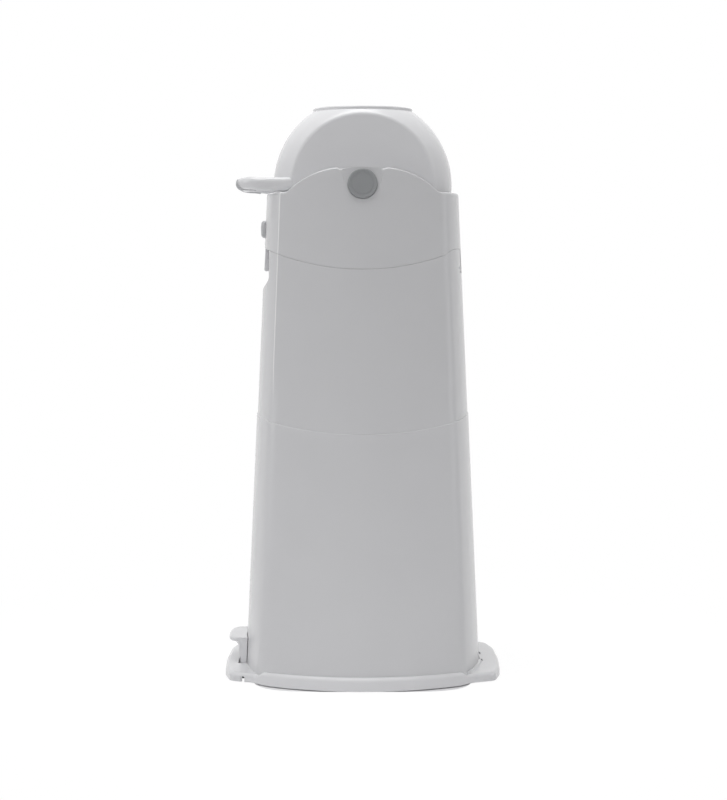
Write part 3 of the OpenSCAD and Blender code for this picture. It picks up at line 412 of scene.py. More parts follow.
def waist_seam(y, rise=0.0):
    """Height of the seam between lower and middle body, or of a line above it."""
    return WAIST_Z - WAIST_DIP + rise + waist_r - math.sqrt(waist_r ** 2 - y * y)


def hood_seam(y, gap=0.0):
    """The seam between middle body and hood, with the arc about the hinge at the back."""
    if y > REAR_ZONE_Y:
        return HINGE_Z + math.sqrt(max((HINGE_ARC + gap) ** 2 - (y - HINGE_Y) ** 2, 0.0))
    r = hood_r - gap
    return HOOD_SEAM_Z - HOOD_SEAM_DIP + hood_r - math.sqrt(r * r - y * y)


def settle(point, k, seam, start, inset=0.0):
    """Height at which a column meets a seam."""
    z = start
    for _ in range(12):
        z = seam(point(k, z, inset)[1])
    return z


print(f"seam radii: {waist_r:.1f} mm at the waist, {hood_r:.1f} mm at the hood")

# %% [markdown]
# ## Skins
# Each shell is one closed skin. For every column round the plan there is a loop of points that runs
# up the outside, over a small rounded edge, down the inside and back. Neighbouring loops are joined
# with four-sided faces, so the shell has a real wall and real rounded edges that catch the light.

# %% Helpers that turn points into pieces


def mesh_object(name, points_mm, faces):
    """A piece from points in millimetres, with its faces turned outward."""
    mesh = bpy.data.meshes.new(name)
    mesh.from_pydata([tuple(c * MM for c in p) for p in points_mm], [], faces)
    mesh.validate()
    bm = bmesh.new()
    bm.from_mesh(mesh)
    bmesh.ops.remove_doubles(bm, verts=bm.verts, dist=1e-7)
    bmesh.ops.recalc_face_normals(bm, faces=bm.faces)
    bm.to_mesh(mesh)
    bm.free()
    piece = bpy.data.objects.new(name, mesh)
    bpy.context.scene.collection.objects.link(piece)
    return piece


def shade(piece, crease_deg=32):
    """Smooth shading that stays sharp at edges steeper than the crease."""
    mesh = piece.data
    mesh.polygons.foreach_set("use_smooth", [True] * len(mesh.polygons))
    bm = bmesh.new()
    bm.from_mesh(mesh)
    limit = math.radians(crease_deg)
    for edge in bm.edges:
        edge.smooth = len(edge.link_faces) == 2 and edge.calc_face_angle(0.0) < limit
    bm.to_mesh(mesh)
    bm.free()


def dress(piece, material, body, slot, *nodes, crease_deg=32):
    """Shades a piece, gives it its material and fixes it to the frame."""
    shade(piece, crease_deg)
    piece.data.materials.clear()
    piece.data.materials.append(material)
    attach(piece, body)
    if nodes:
        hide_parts(*nodes)
    print(f"{piece.name}: {len(piece.data.polygons)} faces on {body}")


def ring_faces(loops, points, closed_round=True):
    """Faces between loops of equally many points; each loop is itself closed if closed_round."""
    faces = []
    for j in range(loops - 1):
        for i in range(points if closed_round else points - 1):
            a, b = j * points + i, j * points + (i + 1) % points
            faces.append((a, b, b + points, a + points))
    return faces


def shell(name, loops):
    """A closed skin from one loop of points per column; the last column joins the first."""
    n = len(loops[0])
    points = [p for loop in loops for p in loop]
    faces = []
    for k in range(len(loops)):
        here, there = k * n, ((k + 1) % len(loops)) * n
        for i in range(n):
            j = (i + 1) % n
            faces.append((here + i, here + j, there + j, there + i))
    return mesh_object(name, points, faces)


def skin_along(name, rings):
    """A closed skin over a row of rings, with a face across each end."""
    n = len(rings[0])
    points = [p for ring in rings for p in ring]
    faces = ring_faces(len(rings), n)
    faces.append(tuple(range(n)))
    faces.append(tuple((len(rings) - 1) * n + i for i in range(n - 1, -1, -1)))
    return mesh_object(name, points, faces)


def cut(piece, *tools):
    """Takes closed tools away from a closed piece, and removes the tools."""
    for tool in tools:
        modifier = piece.modifiers.new("cut", "BOOLEAN")
        modifier.operation = "DIFFERENCE"
        modifier.solver = "MANIFOLD"
        modifier.object = tool
        bpy.context.view_layer.update()
        graph = bpy.context.evaluated_depsgraph_get()
        mesh = bpy.data.meshes.new_from_object(piece.evaluated_get(graph))
        piece.modifiers.clear()
        old = piece.data
        piece.data = mesh
        bpy.data.meshes.remove(old)
        bpy.data.objects.remove(tool)


def prism_x(name, outline_yz, x0, x1):
    """A prism along X over an outline in Y and Z."""
    n = len(outline_yz)
    points = [(x0, y, z) for y, z in outline_yz] + [(x1, y, z) for y, z in outline_yz]
    faces = [tuple(range(n)), tuple(range(2 * n - 1, n - 1, -1))]
    faces += [(i, n + i, n + (i + 1) % n, (i + 1) % n) for i in range(n)]
    return mesh_object(name, points, faces)


def block(name, low, high):
    """A box between two corners, in millimetres."""
    y0, z0, y1, z1 = low[1], low[2], high[1], high[2]
    return prism_x(name, [(y0, z0), (y1, z0), (y1, z1), (y0, z1)], low[0], high[0])


def turns_of(profile, direction, centre, steps):
    """Copies of a profile of (distance along the axis, radius) round a whole turn."""
    copies = []
    for s in range(steps):
        a = 2 * math.pi * s / steps
        copy = []
        for along, r in profile:
            u, v = r * math.cos(a), r * math.sin(a)
            p = (along, u, v) if direction == "X" else (u, v, along)
            copy.append(tuple(p[i] + centre[i] for i in range(3)))
        copies.append(copy)
    return copies


def strips_round(columns, n):
    """Faces between neighbouring columns of n points each; the last column joins the first."""
    faces = []
    for k in range(columns):
        here, there = k * n, ((k + 1) % columns) * n
        faces += [(here + i, there + i, there + i + 1, here + i + 1) for i in range(n - 1)]
    return faces


def turned(name, profile, direction, centre, steps=144):
    """A solid of revolution over a profile that runs from pole to pole, along X or Z."""
    n = len(profile)
    points = [p for copy in turns_of(profile, direction, centre, steps) for p in copy]
    faces = strips_round(steps, n)
    if profile[0][1] > 0:
        faces.append(tuple(s * n for s in range(steps)))
    if profile[-1][1] > 0:
        faces.append(tuple(s * n + n - 1 for s in range(steps - 1, -1, -1)))
    return mesh_object(name, points, faces)


def arc(cx, cy, r, from_deg, to_deg, steps):
    """Points on an arc in a plane."""
    return [(cx + r * math.cos(math.radians(lerp(from_deg, to_deg, i / steps))),
             cy + r * math.sin(math.radians(lerp(from_deg, to_deg, i / steps))))
            for i in range(steps + 1)]


def rounded_outline(corners, steps=5):
    """An outline with a radius at each corner: corners holds (y, z, radius)."""
    out = []
    n = len(corners)
    for i, (y, z, r) in enumerate(corners):
        here = Vector((y, z))
        before = Vector(corners[i - 1][:2]) - here
        after = Vector(corners[(i + 1) % n][:2]) - here
        if r <= 0:
            out.append((y, z))
            continue
        before.normalize()
        after.normalize()
        half = math.acos(max(-1.0, min(1.0, before.dot(after)))) / 2
        reach = r / math.tan(half)
        a, b = here + before * reach, here + after * reach
        # A quadratic curve through the corner stays close to the true arc
        for s in range(steps + 1):
            t = s / steps
            p = a * (1 - t) ** 2 + here * 2 * t * (1 - t) + b * t * t
            out.append((p.x, p.y))
    return out


def soften(piece, width_mm, segments=3, limit_deg=30):
    """Rounds a piece's steep edges."""
    bm = bmesh.new()
    bm.from_mesh(piece.data)
    bmesh.ops.dissolve_limit(bm, angle_limit=math.radians(1), verts=bm.verts, edges=bm.edges)
    edges = [e for e in bm.edges
             if len(e.link_faces) == 2 and e.calc_face_angle(0.0) > math.radians(limit_deg)]
    bmesh.ops.bevel(bm, geom=edges, offset=width_mm * MM, offset_type="OFFSET", segments=segments,
                    profile=0.5, affect="EDGES", clamp_overlap=True)
    bm.to_mesh(piece.data)
    bm.free()
    return piece


# %% [markdown]
# ## Lower body
# The tall tapered tub that stands on the base plate. Its upper edge stands a hair proud of the middle
# body and is rounded, which draws the pale line of the waist seam. A solid block with a thickness
# modifier would give even walls only. The loops of points also hold the lip inside the seam.

# %% Lower body
EDGE_R = 0.7
FOOT_CHAMFER = 0.6
# Inside the seam a thin lip stands up and holds the middle body in place
LIP_INSET = WAIST_STEP + WALL + 0.3
LIP_T = 2.0
LIP_H = 6.0
LIP_ROOT = 9.0
# The pedal's hook, and the room round it in its window
HOOK_HALF, HOOK_LOW, HOOK_HIGH, HOOK_GAP = 12.0, 22.0, 28.0, 0.6


def lower_loop(k):
    """The closed loop of points of one column: up the outside, over the lip and down the inside."""
    top = settle(lower_point, k, waist_seam, WAIST_Z)
    lip_top = settle(lower_point, k, lambda y: waist_seam(y, LIP_H), WAIST_Z + LIP_H, LIP_INSET)
    step_z = WAIST_Z - WAIST_DIP - LIP_ROOT
    start = BASE_TOP + FOOT_CHAMFER
    loop = [lower_point(k, BASE_TOP, WALL), lower_point(k, BASE_TOP, FOOT_CHAMFER), lower_point(k, start)]
    rows = 24
    loop += [lower_point(k, lerp(start, top - EDGE_R, i / rows)) for i in range(1, rows + 1)]
    for i in range(1, 5):
        a = math.pi / 2 * i / 4
        loop.append(lower_point(k, top - EDGE_R + EDGE_R * math.sin(a), EDGE_R * (1 - math.cos(a))))
    loop += [
        lower_point(k, top, LIP_INSET),
        lower_point(k, lip_top - 0.5, LIP_INSET),
        lower_point(k, lip_top, LIP_INSET + 0.5),
        lower_point(k, lip_top, LIP_INSET + LIP_T),
        lower_point(k, step_z, LIP_INSET + LIP_T),
        lower_point(k, step_z - 3, WALL),
    ]
    loop += [lower_point(k, lerp(step_z - 3, BASE_TOP, i / 6), WALL) for i in range(1, 6)]
    return loop


lower_body = shell("lower_body_skin", [lower_loop(k) for k in range(COLUMNS)])
window_half = HOOK_HALF + HOOK_GAP
cut(lower_body, block("hook_window", (-window_half, -160, HOOK_LOW - HOOK_GAP),
                      (window_half, -140, HOOK_HIGH + HOOK_GAP)))
dress(lower_body, gloss_white, "root", "white_gloss", "lower_body")

# %% [markdown]
# ## Middle body
# The middle shell carries the hood. High on its front a finger recess is scooped out under the latch:
# a flat face that sweeps out to the surface again. The recess is cut with a long prism, as a tool
# maker would mill it, and the wall behind it is carried inward so that it keeps its thickness.

# %% Middle body
RECESS_Y = 115.1
RECESS_Z = 492.0
RECESS_SWEEP = 23.0
LEDGE_Z = 458.0
CATCH_Z = 506.0
TONGUE_W = 32.0
# The knuckles along the hinge's axis: the centre one, the hood's arms beside it and the outer ones
KNUCKLE_HALF, ARM_W, EAR_W, SIDE_GAP = 21.7, 12.7, 6.0, 0.3
HOOD_KNUCKLE_R, BODY_KNUCKLE_R = 6.0, 5.9
HINGE_SLOT = (496.5, 537.0)
slot_out = KNUCKLE_HALF + ARM_W + 2 * SIDE_GAP


def recess_face(z, shift=0.0):
    """How far in front of the middle the recess's face stands, at a height."""
    foot = upper_half(RECESS_Z - RECESS_SWEEP)[1] + 2
    t = (RECESS_Z - z) / RECESS_SWEEP
    if t <= 0:
        return RECESS_Y - shift
    if t >= 1:
        return 400.0
    return lerp(RECESS_Y, foot, (1 - math.cos(math.pi * t)) / 2) - shift


def middle_loop(k):
    """The closed loop of points of one column: up the outside and down the inside, past the ledge."""
    low = settle(upper_point, k, waist_seam, WAIST_Z)
    high = settle(upper_point, k, hood_seam, HOOD_SEAM_Z)
    rows = 44

    def inner(z):
        x, y, _ = upper_point(k, z, WALL)
        return (x, max(y, -recess_face(z + 2, WALL)), z)

    loop = [upper_point(k, low, WALL), upper_point(k, low, 0.1), upper_point(k, low + 0.1)]
    r = HOOD_EDGE_R
    loop += [upper_point(k, lerp(low + 0.1, high - r, i / rows)) for i in range(1, rows + 1)]
    for i in range(1, 5):
        a = math.pi / 2 * i / 4
        loop.append(upper_point(k, high - r + r * math.sin(a), r * (1 - math.cos(a))))
    loop += [inner(lerp(high, LEDGE_Z, i / 14)) for i in range(15)]
    loop += [upper_point(k, LEDGE_Z, WALL + 6), upper_point(k, LEDGE_Z - 3, WALL + 6)]
    loop += [upper_point(k, lerp(LEDGE_Z - 3, low, i / 6), WALL) for i in range(6)]
    return loop


middle_body = shell("middle_body_skin", [middle_loop(k) for k in range(COLUMNS)])
recess_side = [(-300.0, HOOD_SEAM_Z + 20), (-RECESS_Y, HOOD_SEAM_Z + 20)]
sweep_steps = 24
recess_side += [(-recess_face(RECESS_Z - RECESS_SWEEP * i / sweep_steps * 0.999),
                 RECESS_Z - RECESS_SWEEP * i / sweep_steps) for i in range(sweep_steps + 1)]
recess_side.append((-300.0, RECESS_Z - RECESS_SWEEP))
cut(middle_body,
    prism_x("recess_cutter", recess_side, -200, 200),
    block("hinge_slot_right", (KNUCKLE_HALF, HINGE_Y - 8, HINGE_SLOT[0]),
          (slot_out, HINGE_Y + 20, HINGE_SLOT[1])),
    block("hinge_slot_left", (-slot_out, HINGE_Y - 8, HINGE_SLOT[0]),
          (-KNUCKLE_HALF, HINGE_Y + 20, HINGE_SLOT[1])),
    block("nose_dimple", (-13, -RECESS_Y - 1, CATCH_Z - 3.5), (13, -RECESS_Y + 1.4, CATCH_Z + 3.5)))
dress(middle_body, gloss_white_painted_highlight, "root", "white_gloss", "middle_body")

# %% [markdown]
# ## Hinge
# A steel pin runs through five knuckles: three on the middle body and, between them, the ends of the
# hood's two arms. They are slices along the pin, drawn in a little at both ends, so that their edges
# are rounded, and flattened where they would stand out of the body's back.

# %% Knuckles of the hinge
END_ROUND = 0.6


def face_distance(x, half_x, half_y):
    """Distance of the front or back face from the middle, for a plan of these half sizes."""
    u = x * SHOULDER[0] / half_x
    return (SHOULDER[1] - FACE_R + math.sqrt(FACE_R ** 2 - u * u)) * half_y / SHOULDER[1]


def back_face(x, z, inset):
    """Distance of the upper body's back face from the middle, at a place across and a height."""
    hx, hy = upper_half(z)
    return face_distance(x, hx - inset, hy - inset)


def end_trim(x, x0, x1):
    """How far a section is drawn in near x0 and x1, so that both ends are rounded."""
    edge = min(x - x0, x1 - x)
    return END_ROUND - math.sqrt(max(0.0, END_ROUND ** 2 - max(0.0, END_ROUND - edge) ** 2))


def knuckle(name, x0, x1):
    """A knuckle along the hinge's axis, flattened where it would pass the body's back face."""
    slices = []
    for x in (x0, x0 + 0.2, x0 + END_ROUND, lerp(x0, x1, 0.5), x1 - END_ROUND, x1 - 0.2, x1):
        r = BODY_KNUCKLE_R - end_trim(x, x0, x1)
        slices.append([(x, min(y, back_face(x, z, 0.1)), z)
                       for y, z in arc(HINGE_Y, HINGE_Z, r, 0, 352.5, 47)])
    dress(skin_along(name, slices), gloss_white, "root", "white_gloss")


knuckle_end = slot_out + EAR_W
knuckle("hinge_knuckle_centre", -KNUCKLE_HALF, KNUCKLE_HALF)
knuckle("hinge_knuckle_right", slot_out, knuckle_end)
knuckle("hinge_knuckle_left", -knuckle_end, -slot_out)

# %% [markdown]
# ## Hood
# The hood is one moulding with a wavy rim: two low peaks beside each axle cap that fall in a long
# curve to the shoulders. It is built as a solid block with that top, and then the drum's socket, the
# pocket of each axle cap, the scoop round it and the holes of the latch are taken out of it.

# %% Hood's rim
RIM_PEAK_Z = 624.6
RIM_R = 95.0
RIM_C = 22.0
RIM_FILLET = 10.0
RIM_ARCH_Z = 624.4
RIM_ARCH_DROP = 2.2
RIM_NOTCH_Y = 27.5
rim_centre_z = RIM_PEAK_Z - RIM_R
fillet_rise = SHOULDER_Z + RIM_FILLET - rim_centre_z
rim_blend_y = RIM_C + math.sqrt((RIM_R + RIM_FILLET) ** 2 - fillet_rise ** 2)
rim_touch_y = RIM_C + (rim_blend_y - RIM_C) * RIM_R / (RIM_R + RIM_FILLET)


def rim(y):
    """Height of the hood's top at a distance from front to back."""
    y = abs(y)
    if y >= rim_blend_y:
        return SHOULDER_Z
    if y >= rim_touch_y:
        return SHOULDER_Z + RIM_FILLET - math.sqrt(RIM_FILLET ** 2 - (y - rim_blend_y) ** 2)
    peak = rim_centre_z + math.sqrt(RIM_R ** 2 - max(y - RIM_C, 0.0) ** 2)
    # The low arch between the peaks is blended in over two millimetres
    arch = RIM_ARCH_Z - RIM_ARCH_DROP * (y / RIM_NOTCH_Y) ** 2
    return lerp(min(arch, peak), peak, smooth((y - RIM_NOTCH_Y + 0.6) / 2.0))


CEILING_Z = 566.0
TOP_ROUND_FACE = 3.2
TOP_ROUND_SIDE = 2.6


def top_round(k):
    """Radius of the hood's top edge: small along the wavy sides, larger along front and back."""
    return lerp(TOP_ROUND_SIDE, TOP_ROUND_FACE, smooth((abs(SOFT_PLAN[k][1]) - 92) / 16))


def hood_column(k):
    """One column of the hood's block, from inside its lower edge up the outside to the rim."""
    low = settle(upper_point, k, lambda y: hood_seam(y, HOOD_GAP), HOOD_SEAM_Z + HOOD_GAP)
    r = top_round(k)
    high = settle(upper_point, k, rim, SHOULDER_Z + 10, r)
    rows = 30
    column = [upper_point(k, CEILING_Z, WALL), upper_point(k, lerp(CEILING_Z, low, 0.5), WALL),
              upper_point(k, low + 0.4, WALL), upper_point(k, low, WALL - 0.4),
              upper_point(k, low, HOOD_EDGE_R)]
    for i in range(1, 5):
        a = math.pi / 2 * i / 4
        rise, inset = HOOD_EDGE_R * (1 - math.cos(a)), HOOD_EDGE_R * (1 - math.sin(a))
        column.append(upper_point(k, low + rise, inset))
    start = low + HOOD_EDGE_R
    column += [upper_point(k, lerp(start, high - r, i / rows)) for i in range(1, rows + 1)]
    for i in range(1, 8):
        a = math.pi / 2 * i / 7
        column.append(upper_point(k, high - r + r * math.sin(a), r * (1 - math.cos(a))))
    return column


def bridged(name, columns):
    """Joins columns all round and closes both ends with strips across from side to side."""
    n = len(columns[0])
    points = [p for column in columns for p in column]
    faces = strips_round(COLUMNS, n)
    for end in (0, n - 1):
        for k in range(-QUARTER, QUARTER):
            a, b = k % COLUMNS, (k + 1) % COLUMNS
            c, d = mirror_column(b), mirror_column(a)
            strip = [a * n + end, b * n + end]
            if c != b:
                strip.append(c * n + end)
            if d != a:
                strip.append(d * n + end)
            faces.append(tuple(strip))
    return mesh_object(name, points, faces)


hood = bridged("hood_skin", [hood_column(k) for k in range(COLUMNS)])
print("hood block:", len(hood.data.polygons), "faces")

# %% [markdown]
# ## Drum and socket
# The drum is a ball with two flat sides, turned about the axle. It could be a sphere cut by planes,
# but a turned profile also has the round between ball and flat side. The same profile, grown by the
# clearance, is the tool that cuts the socket out of the hood, so the gap is even all round.

# %% Profile of the drum
AXIS_Z = 604.5
DRUM_R = 111.4
DRUM_HALF = 69.3
DRUM_FILLET = 7.0
MOUTH_FLAT = 92.5
BORE_R = 57.5
TUBE_WALL = 2.0
RING_H = 3.8
RING_LIP = 2.7
RING_ROUND = 1.8
DRUM_GAP = 1.0
CHEEK_GAP = 1.3
JOINT_HALF = 0.15
GROOVE_DEPTH = 0.35
BALL_STEPS = 40
rim_r = math.sqrt(DRUM_R ** 2 - MOUTH_FLAT ** 2)
sweep_r = RING_ROUND + math.hypot(rim_r - RING_ROUND, MOUTH_FLAT + RING_H - RING_ROUND)
socket_r = sweep_r + DRUM_GAP
cheek_x = DRUM_HALF + CHEEK_GAP
axis = (0, 0, AXIS_Z)


def drum_profile(x0, r, half, fillet):
    """Points from the plane at x0 over the ball, and points round the fillet to the flat side."""
    cx = half - fillet
    cr = math.sqrt((r - fillet) ** 2 - cx ** 2)
    meet = math.degrees(math.asin(cx / (r - fillet)))
    start = math.degrees(math.asin(x0 / r))
    ball = [(r * math.sin(math.radians(a)), r * math.cos(math.radians(a)))
            for a in [lerp(start, meet, i / BALL_STEPS) for i in range(BALL_STEPS + 1)]]
    edge = [(cx + fillet * math.sin(math.radians(a)), cr + fillet * math.cos(math.radians(a)))
            for a in [lerp(meet, 90, i / 10) for i in range(1, 11)]]
    return ball, edge


def drum_half(name, side, node):
    """One half shell: turned, cut flat at both mouths and bored. side is 1 for the right half."""
    ball, edge = drum_profile(JOINT_HALF, DRUM_R, DRUM_HALF, DRUM_FILLET)
    # A shallow groove where the two halves meet
    ball[0] = (ball[0][0], ball[0][1] - GROOVE_DEPTH)
    ball.insert(1, (0.5, DRUM_R - 0.02))
    face = [(DRUM_HALF, lerp(edge[-1][1], 0.0, i / 6)) for i in range(1, 7)]
    profile = [(JOINT_HALF, 0.0)] + ball + edge + face
    if side < 0:
        profile = [(-x, r) for x, r in profile]
    piece = turned(name, profile, "X", axis, steps=220)
    flat_z = [AXIS_Z + MOUTH_FLAT, AXIS_Z - MOUTH_FLAT]
    bore = turned(name + "_bore", [(-130, BORE_R + TUBE_WALL), (130, BORE_R + TUBE_WALL)], "Z", axis)
    cut(piece,
        block("above", (-120, -120, flat_z[0]), (120, 120, flat_z[0] + 40)),
        block("below", (-120, -120, flat_z[1] - 40), (120, 120, flat_z[1])),
        bore)
    dress(piece, white_painted_lighter, "drum", "white_gloss", node)


drum_half("drum_right", 1, "drum_shell_right")
drum_half("drum_left", -1, "drum_shell_left")

# %% [markdown]
# ## Cutting the hood
# The axle caps sit in round pockets, and a shallow wedge-shaped scoop runs up from each pocket to the
# rim. The push button's window and the notch for the latch's tongue come out of the front. All of
# them are booleans, because they cross the rim's curve where no row of points would follow them.

# %% Cuts in the hood
CAP_R = 18.0
CAP_T = 5.4
POCKET_DEPTH = 1.7
BUSH_R = 17.06
SCOOP_FOOT_Z, SCOOP_DEPTH = 578.0, 2.3
SCOOP_FOOT_HALF, SCOOP_TOP_HALF = 19.0, RIM_NOTCH_Y + 1.6
BUTTON_W, BUTTON_H, BUTTON_Z = 30.0, 22.0, 550.4
BUTTON_GAP, TONGUE_GAP = 0.3, 2.0
PIVOT_Y, PIVOT_Z = 113.5, 535.0
cap_face_x = upper_half(AXIS_Z)[0] - POCKET_DEPTH


def socket_tool():
    """The tool that cuts the socket: the drum's form, grown to clear the rings as they sweep past."""
    ball, edge = drum_profile(0.0, socket_r, cheek_x, DRUM_FILLET)
    right = ball + edge + [(cheek_x, 0.0)]
    left = [(-x, r) for x, r in reversed(right[1:])]
    return turned("socket", left + right, "X", axis, steps=200)


def scoop_tool(side):
    """A wedge whose face leans inward as it rises, with soft flanks."""
    top_z = RIM_PEAK_Z + 8
    rows, columns = 12, 24
    points = []
    for i in range(rows + 1):
        t = i / rows
        z = lerp(SCOOP_FOOT_Z, top_z, t)
        half = lerp(SCOOP_FOOT_HALF, SCOOP_TOP_HALF, t)
        surface = upper_half(z)[0]
        d = SCOOP_DEPTH * smooth(t * 1.15)
        for j in range(columns + 1):
            s = lerp(-1, 1, j / columns)
            flank = smooth((1 - abs(s)) * 9)
            points.append((side * (surface + 0.4 - (d + 0.4) * flank), s * half, z))
    n = columns + 1
    faces = ring_faces(rows + 1, n, closed_round=False)
    back = len(points)
    for i in range(rows + 1):
        z = lerp(SCOOP_FOOT_Z, top_z, i / rows)
        half = lerp(SCOOP_FOOT_HALF, SCOOP_TOP_HALF, i / rows)
        points += [(side * 120, -half, z), (side * 120, half, z)]
    for i in range(rows):
        faces.append((back + 2 * i, back + 2 * i + 1, back + 2 * i + 3, back + 2 * i + 2))
        faces.append((i * n, (i + 1) * n, back + 2 * i + 2, back + 2 * i))
        faces.append((i * n + columns, (i + 1) * n + columns, back + 2 * i + 3, back + 2 * i + 1))
    faces.append(tuple(range(n)) + (back + 1, back))
    faces.append(tuple(rows * n + j for j in range(n)) + (back + 2 * rows + 1, back + 2 * rows))
    return mesh_object("scoop", points, faces)


tools = [socket_tool()]
for side in (1, -1):
    tools.append(scoop_tool(side))
    face = sorted((side * cap_face_x, side * 130))
    tools.append(turned("cap_pocket", [(face[0], CAP_R + 0.6), (face[1], CAP_R + 0.6)], "X", axis))
    inner = sorted((side * (cheek_x - 1), side * (cap_face_x + 1)))
    tools.append(turned("bush_hole", [(inner[0], BUSH_R), (inner[1], BUSH_R)], "X", axis))
window_w, window_h = BUTTON_W / 2 + BUTTON_GAP, BUTTON_H / 2 + BUTTON_GAP
notch_w = TONGUE_W / 2 + TONGUE_GAP
tools.append(block("button_window", (-window_w, -200, BUTTON_Z - window_h),
                   (window_w, -PIVOT_Y + 0.5, BUTTON_Z + window_h)))
tools.append(block("tongue_notch", (-notch_w, -200, 480), (notch_w, -PIVOT_Y - 5, 531)))
cut(hood, *tools)
dress(hood, gloss_white_painted_highlight, "hood", "white_gloss", "hood_shell")

# %% Arms of the hinge
ARM_TOP_Z = 536.0


def hood_arm(name, x0, x1):
    """The arm from the hood's back edge down to its knuckle, round at its lower end."""
    slices = []
    for x in (x0, x0 + 0.2, x0 + END_ROUND, lerp(x0, x1, 0.35), lerp(x0, x1, 0.65),
              x1 - END_ROUND, x1 - 0.2, x1):
        trim = end_trim(x, x0, x1)
        outline = [(back_face(x, z, 0.4) - trim, z) for z in (ARM_TOP_Z, 527.0, 519.0, 511.0)]
        outline += [(min(py, back_face(x, pz, 0.4)), pz)
                    for py, pz in arc(HINGE_Y, HINGE_Z, HOOD_KNUCKLE_R - trim, 20, -180, 22)]
        outline += [(HINGE_Y - HOOD_KNUCKLE_R + 0.4 + trim, ARM_TOP_Z)]
        slices.append([(x, y, z) for y, z in outline])
    dress(skin_along(name, slices), gloss_white, "hood", "white_gloss")


arm_in = KNUCKLE_HALF + SIDE_GAP
hood_arm("hood_arm_right", arm_in, arm_in + ARM_W)
hood_arm("hood_arm_left", -arm_in - ARM_W, -arm_in)

# %% [markdown]
# ## Rim rings and axle caps
# Rings and caps are turned shapes: one profile swept round, as on a lathe, which gives rounder edges
# than a bevelled cylinder. The rings guard the drum's mouths. The axle caps have a raised border and a
# fine groove, so the light draws two circles on each.

# %% Rim rings


def rim_ring(name, up, node):
    """A ring round one mouth of the drum. up is 1 for the upper mouth and -1 for the lower one."""
    inner, outer = BORE_R - RING_LIP, rim_r
    top = MOUTH_FLAT + RING_H
    loop = [(MOUTH_FLAT, inner), (MOUTH_FLAT, outer)]
    loop += [(p[1], p[0]) for p in arc(outer - RING_ROUND, top - RING_ROUND, RING_ROUND, 0, 90, 7)]
    loop += [(p[1], p[0]) for p in arc(inner + RING_ROUND, top - RING_ROUND, RING_ROUND, 90, 180, 7)]
    loop = [(up * a, r) for a, r in loop]
    piece = shell(name, turns_of(loop, "Z", axis, 180))
    dress(piece, white_painted_lighter, "drum", "pale_plastic", node, crease_deg=40)


rim_ring("rim_ring_upper", 1, "rim_ring_top")
rim_ring("rim_ring_lower", -1, "rim_ring_bottom")

# %% Axle caps
STUB_X, STUB_R = 62.0, 14.0
CAP_EDGE = 1.3


def axle_cap(name, side, node):
    """A cap with its stub axle, from the drum's side out to the grooved face."""
    back = cap_face_x + 0.3
    face = back + CAP_T
    profile = [(STUB_X, 0.0), (STUB_X, STUB_R), (back, STUB_R), (back, CAP_R - 0.3), (back + 0.3, CAP_R)]
    profile += arc(face - CAP_EDGE, CAP_R - CAP_EDGE, CAP_EDGE, 90, 0, 7)
    # The border's flat top, the groove inside it and the slightly hollow face
    profile += [(face, CAP_R - 2.4), (face - 0.35, CAP_R - 2.9), (face - 0.5, CAP_R - 3.3),
                (face - 0.5, CAP_R - 4.4), (face - 0.75, CAP_R - 4.6), (face - 0.75, CAP_R - 5.2),
                (face - 0.5, CAP_R - 5.4), (face - 0.42, 8.0), (face - 0.38, 4.0), (face - 0.36, 0.0)]
    profile = [(side * x, r) for x, r in profile]
    piece = turned(name, profile, "X", axis, steps=120)
    dress(piece, satin_grey, "drum", "grey_plastic", node, crease_deg=40)


axle_cap("axle_cap_outer_right", 1, "axle_cap_right")
axle_cap("axle_cap_outer_left", -1, "axle_cap_left")

# %% [markdown]
# ## Handle and grip
# The handle is a bow: one leg, a bend, the bar, a bend and the other leg. Its section is a softened
# ellipse that is carried along the bow and changes from tall legs to a rounder bar. A curve with a
# round bevel would be quicker, but its section can't change shape along the way. The grip is a
# thin strip of soft rubber: it lies under the bends and round the outside of the bar, where a hand
# pulls, so from the side its ends taper to a crescent.

# %% Handle
HANDLE_REACH = 155.6
HANDLE_RISE = 1.5
LEG_HALF_H, BAR_HALF_H = 8.9, 7.6
LEG_W, BAR_W = 13.0, 16.0
HANDLE_CORNER = 34.0
GRIP_T, GRIP_SUNK = 1.0, 0.6
GRIP_REACH = 21.6
LEG_ROOT_Y, LEG_TAPER_Y = 76.0, 80.6
# Where a leg runs into the drum it is drawn in, so that it ends under the drum's skin
ROOT_TUCK = 1.2
# All of the bow sits a little above the axle, and beyond the hood it rises further to leave room for
# fingers. Over the hood it stays low, since it passes close to the back rim when the drum is turned.
LOW_RISE, RISE_FROM_Y, RISE_LENGTH = 0.2, 120.0, 18.0
SECTION_POINTS = 48
leg_x = DRUM_HALF - LEG_W / 2
bow_r = HANDLE_CORNER - LEG_W / 2
bar_y = HANDLE_REACH - BAR_W / 2
bow_cx, bow_cy = leg_x - bow_r, bar_y - bow_r


def bow_stations():
    """(x, distance forward, outward direction) along the whole bow."""
    half = [(leg_x, lerp(LEG_ROOT_Y, bow_cy, i / 14), 0.0) for i in range(14)]
    bend = [math.pi / 2 * i / 26 for i in range(27)]
    half += [(bow_cx + bow_r * math.cos(a), bow_cy + bow_r * math.sin(a), a) for a in bend]
    half += [(lerp(bow_cx, 0, i / 16), bar_y, math.pi / 2) for i in range(1, 17)]
    return half + [(-x, y, math.pi - a) for x, y, a in half[-2::-1]]


def barness(station):
    """0 on the legs and 1 on the bar, rising through the bends."""
    return math.sin(min(station[2], math.pi - station[2]))


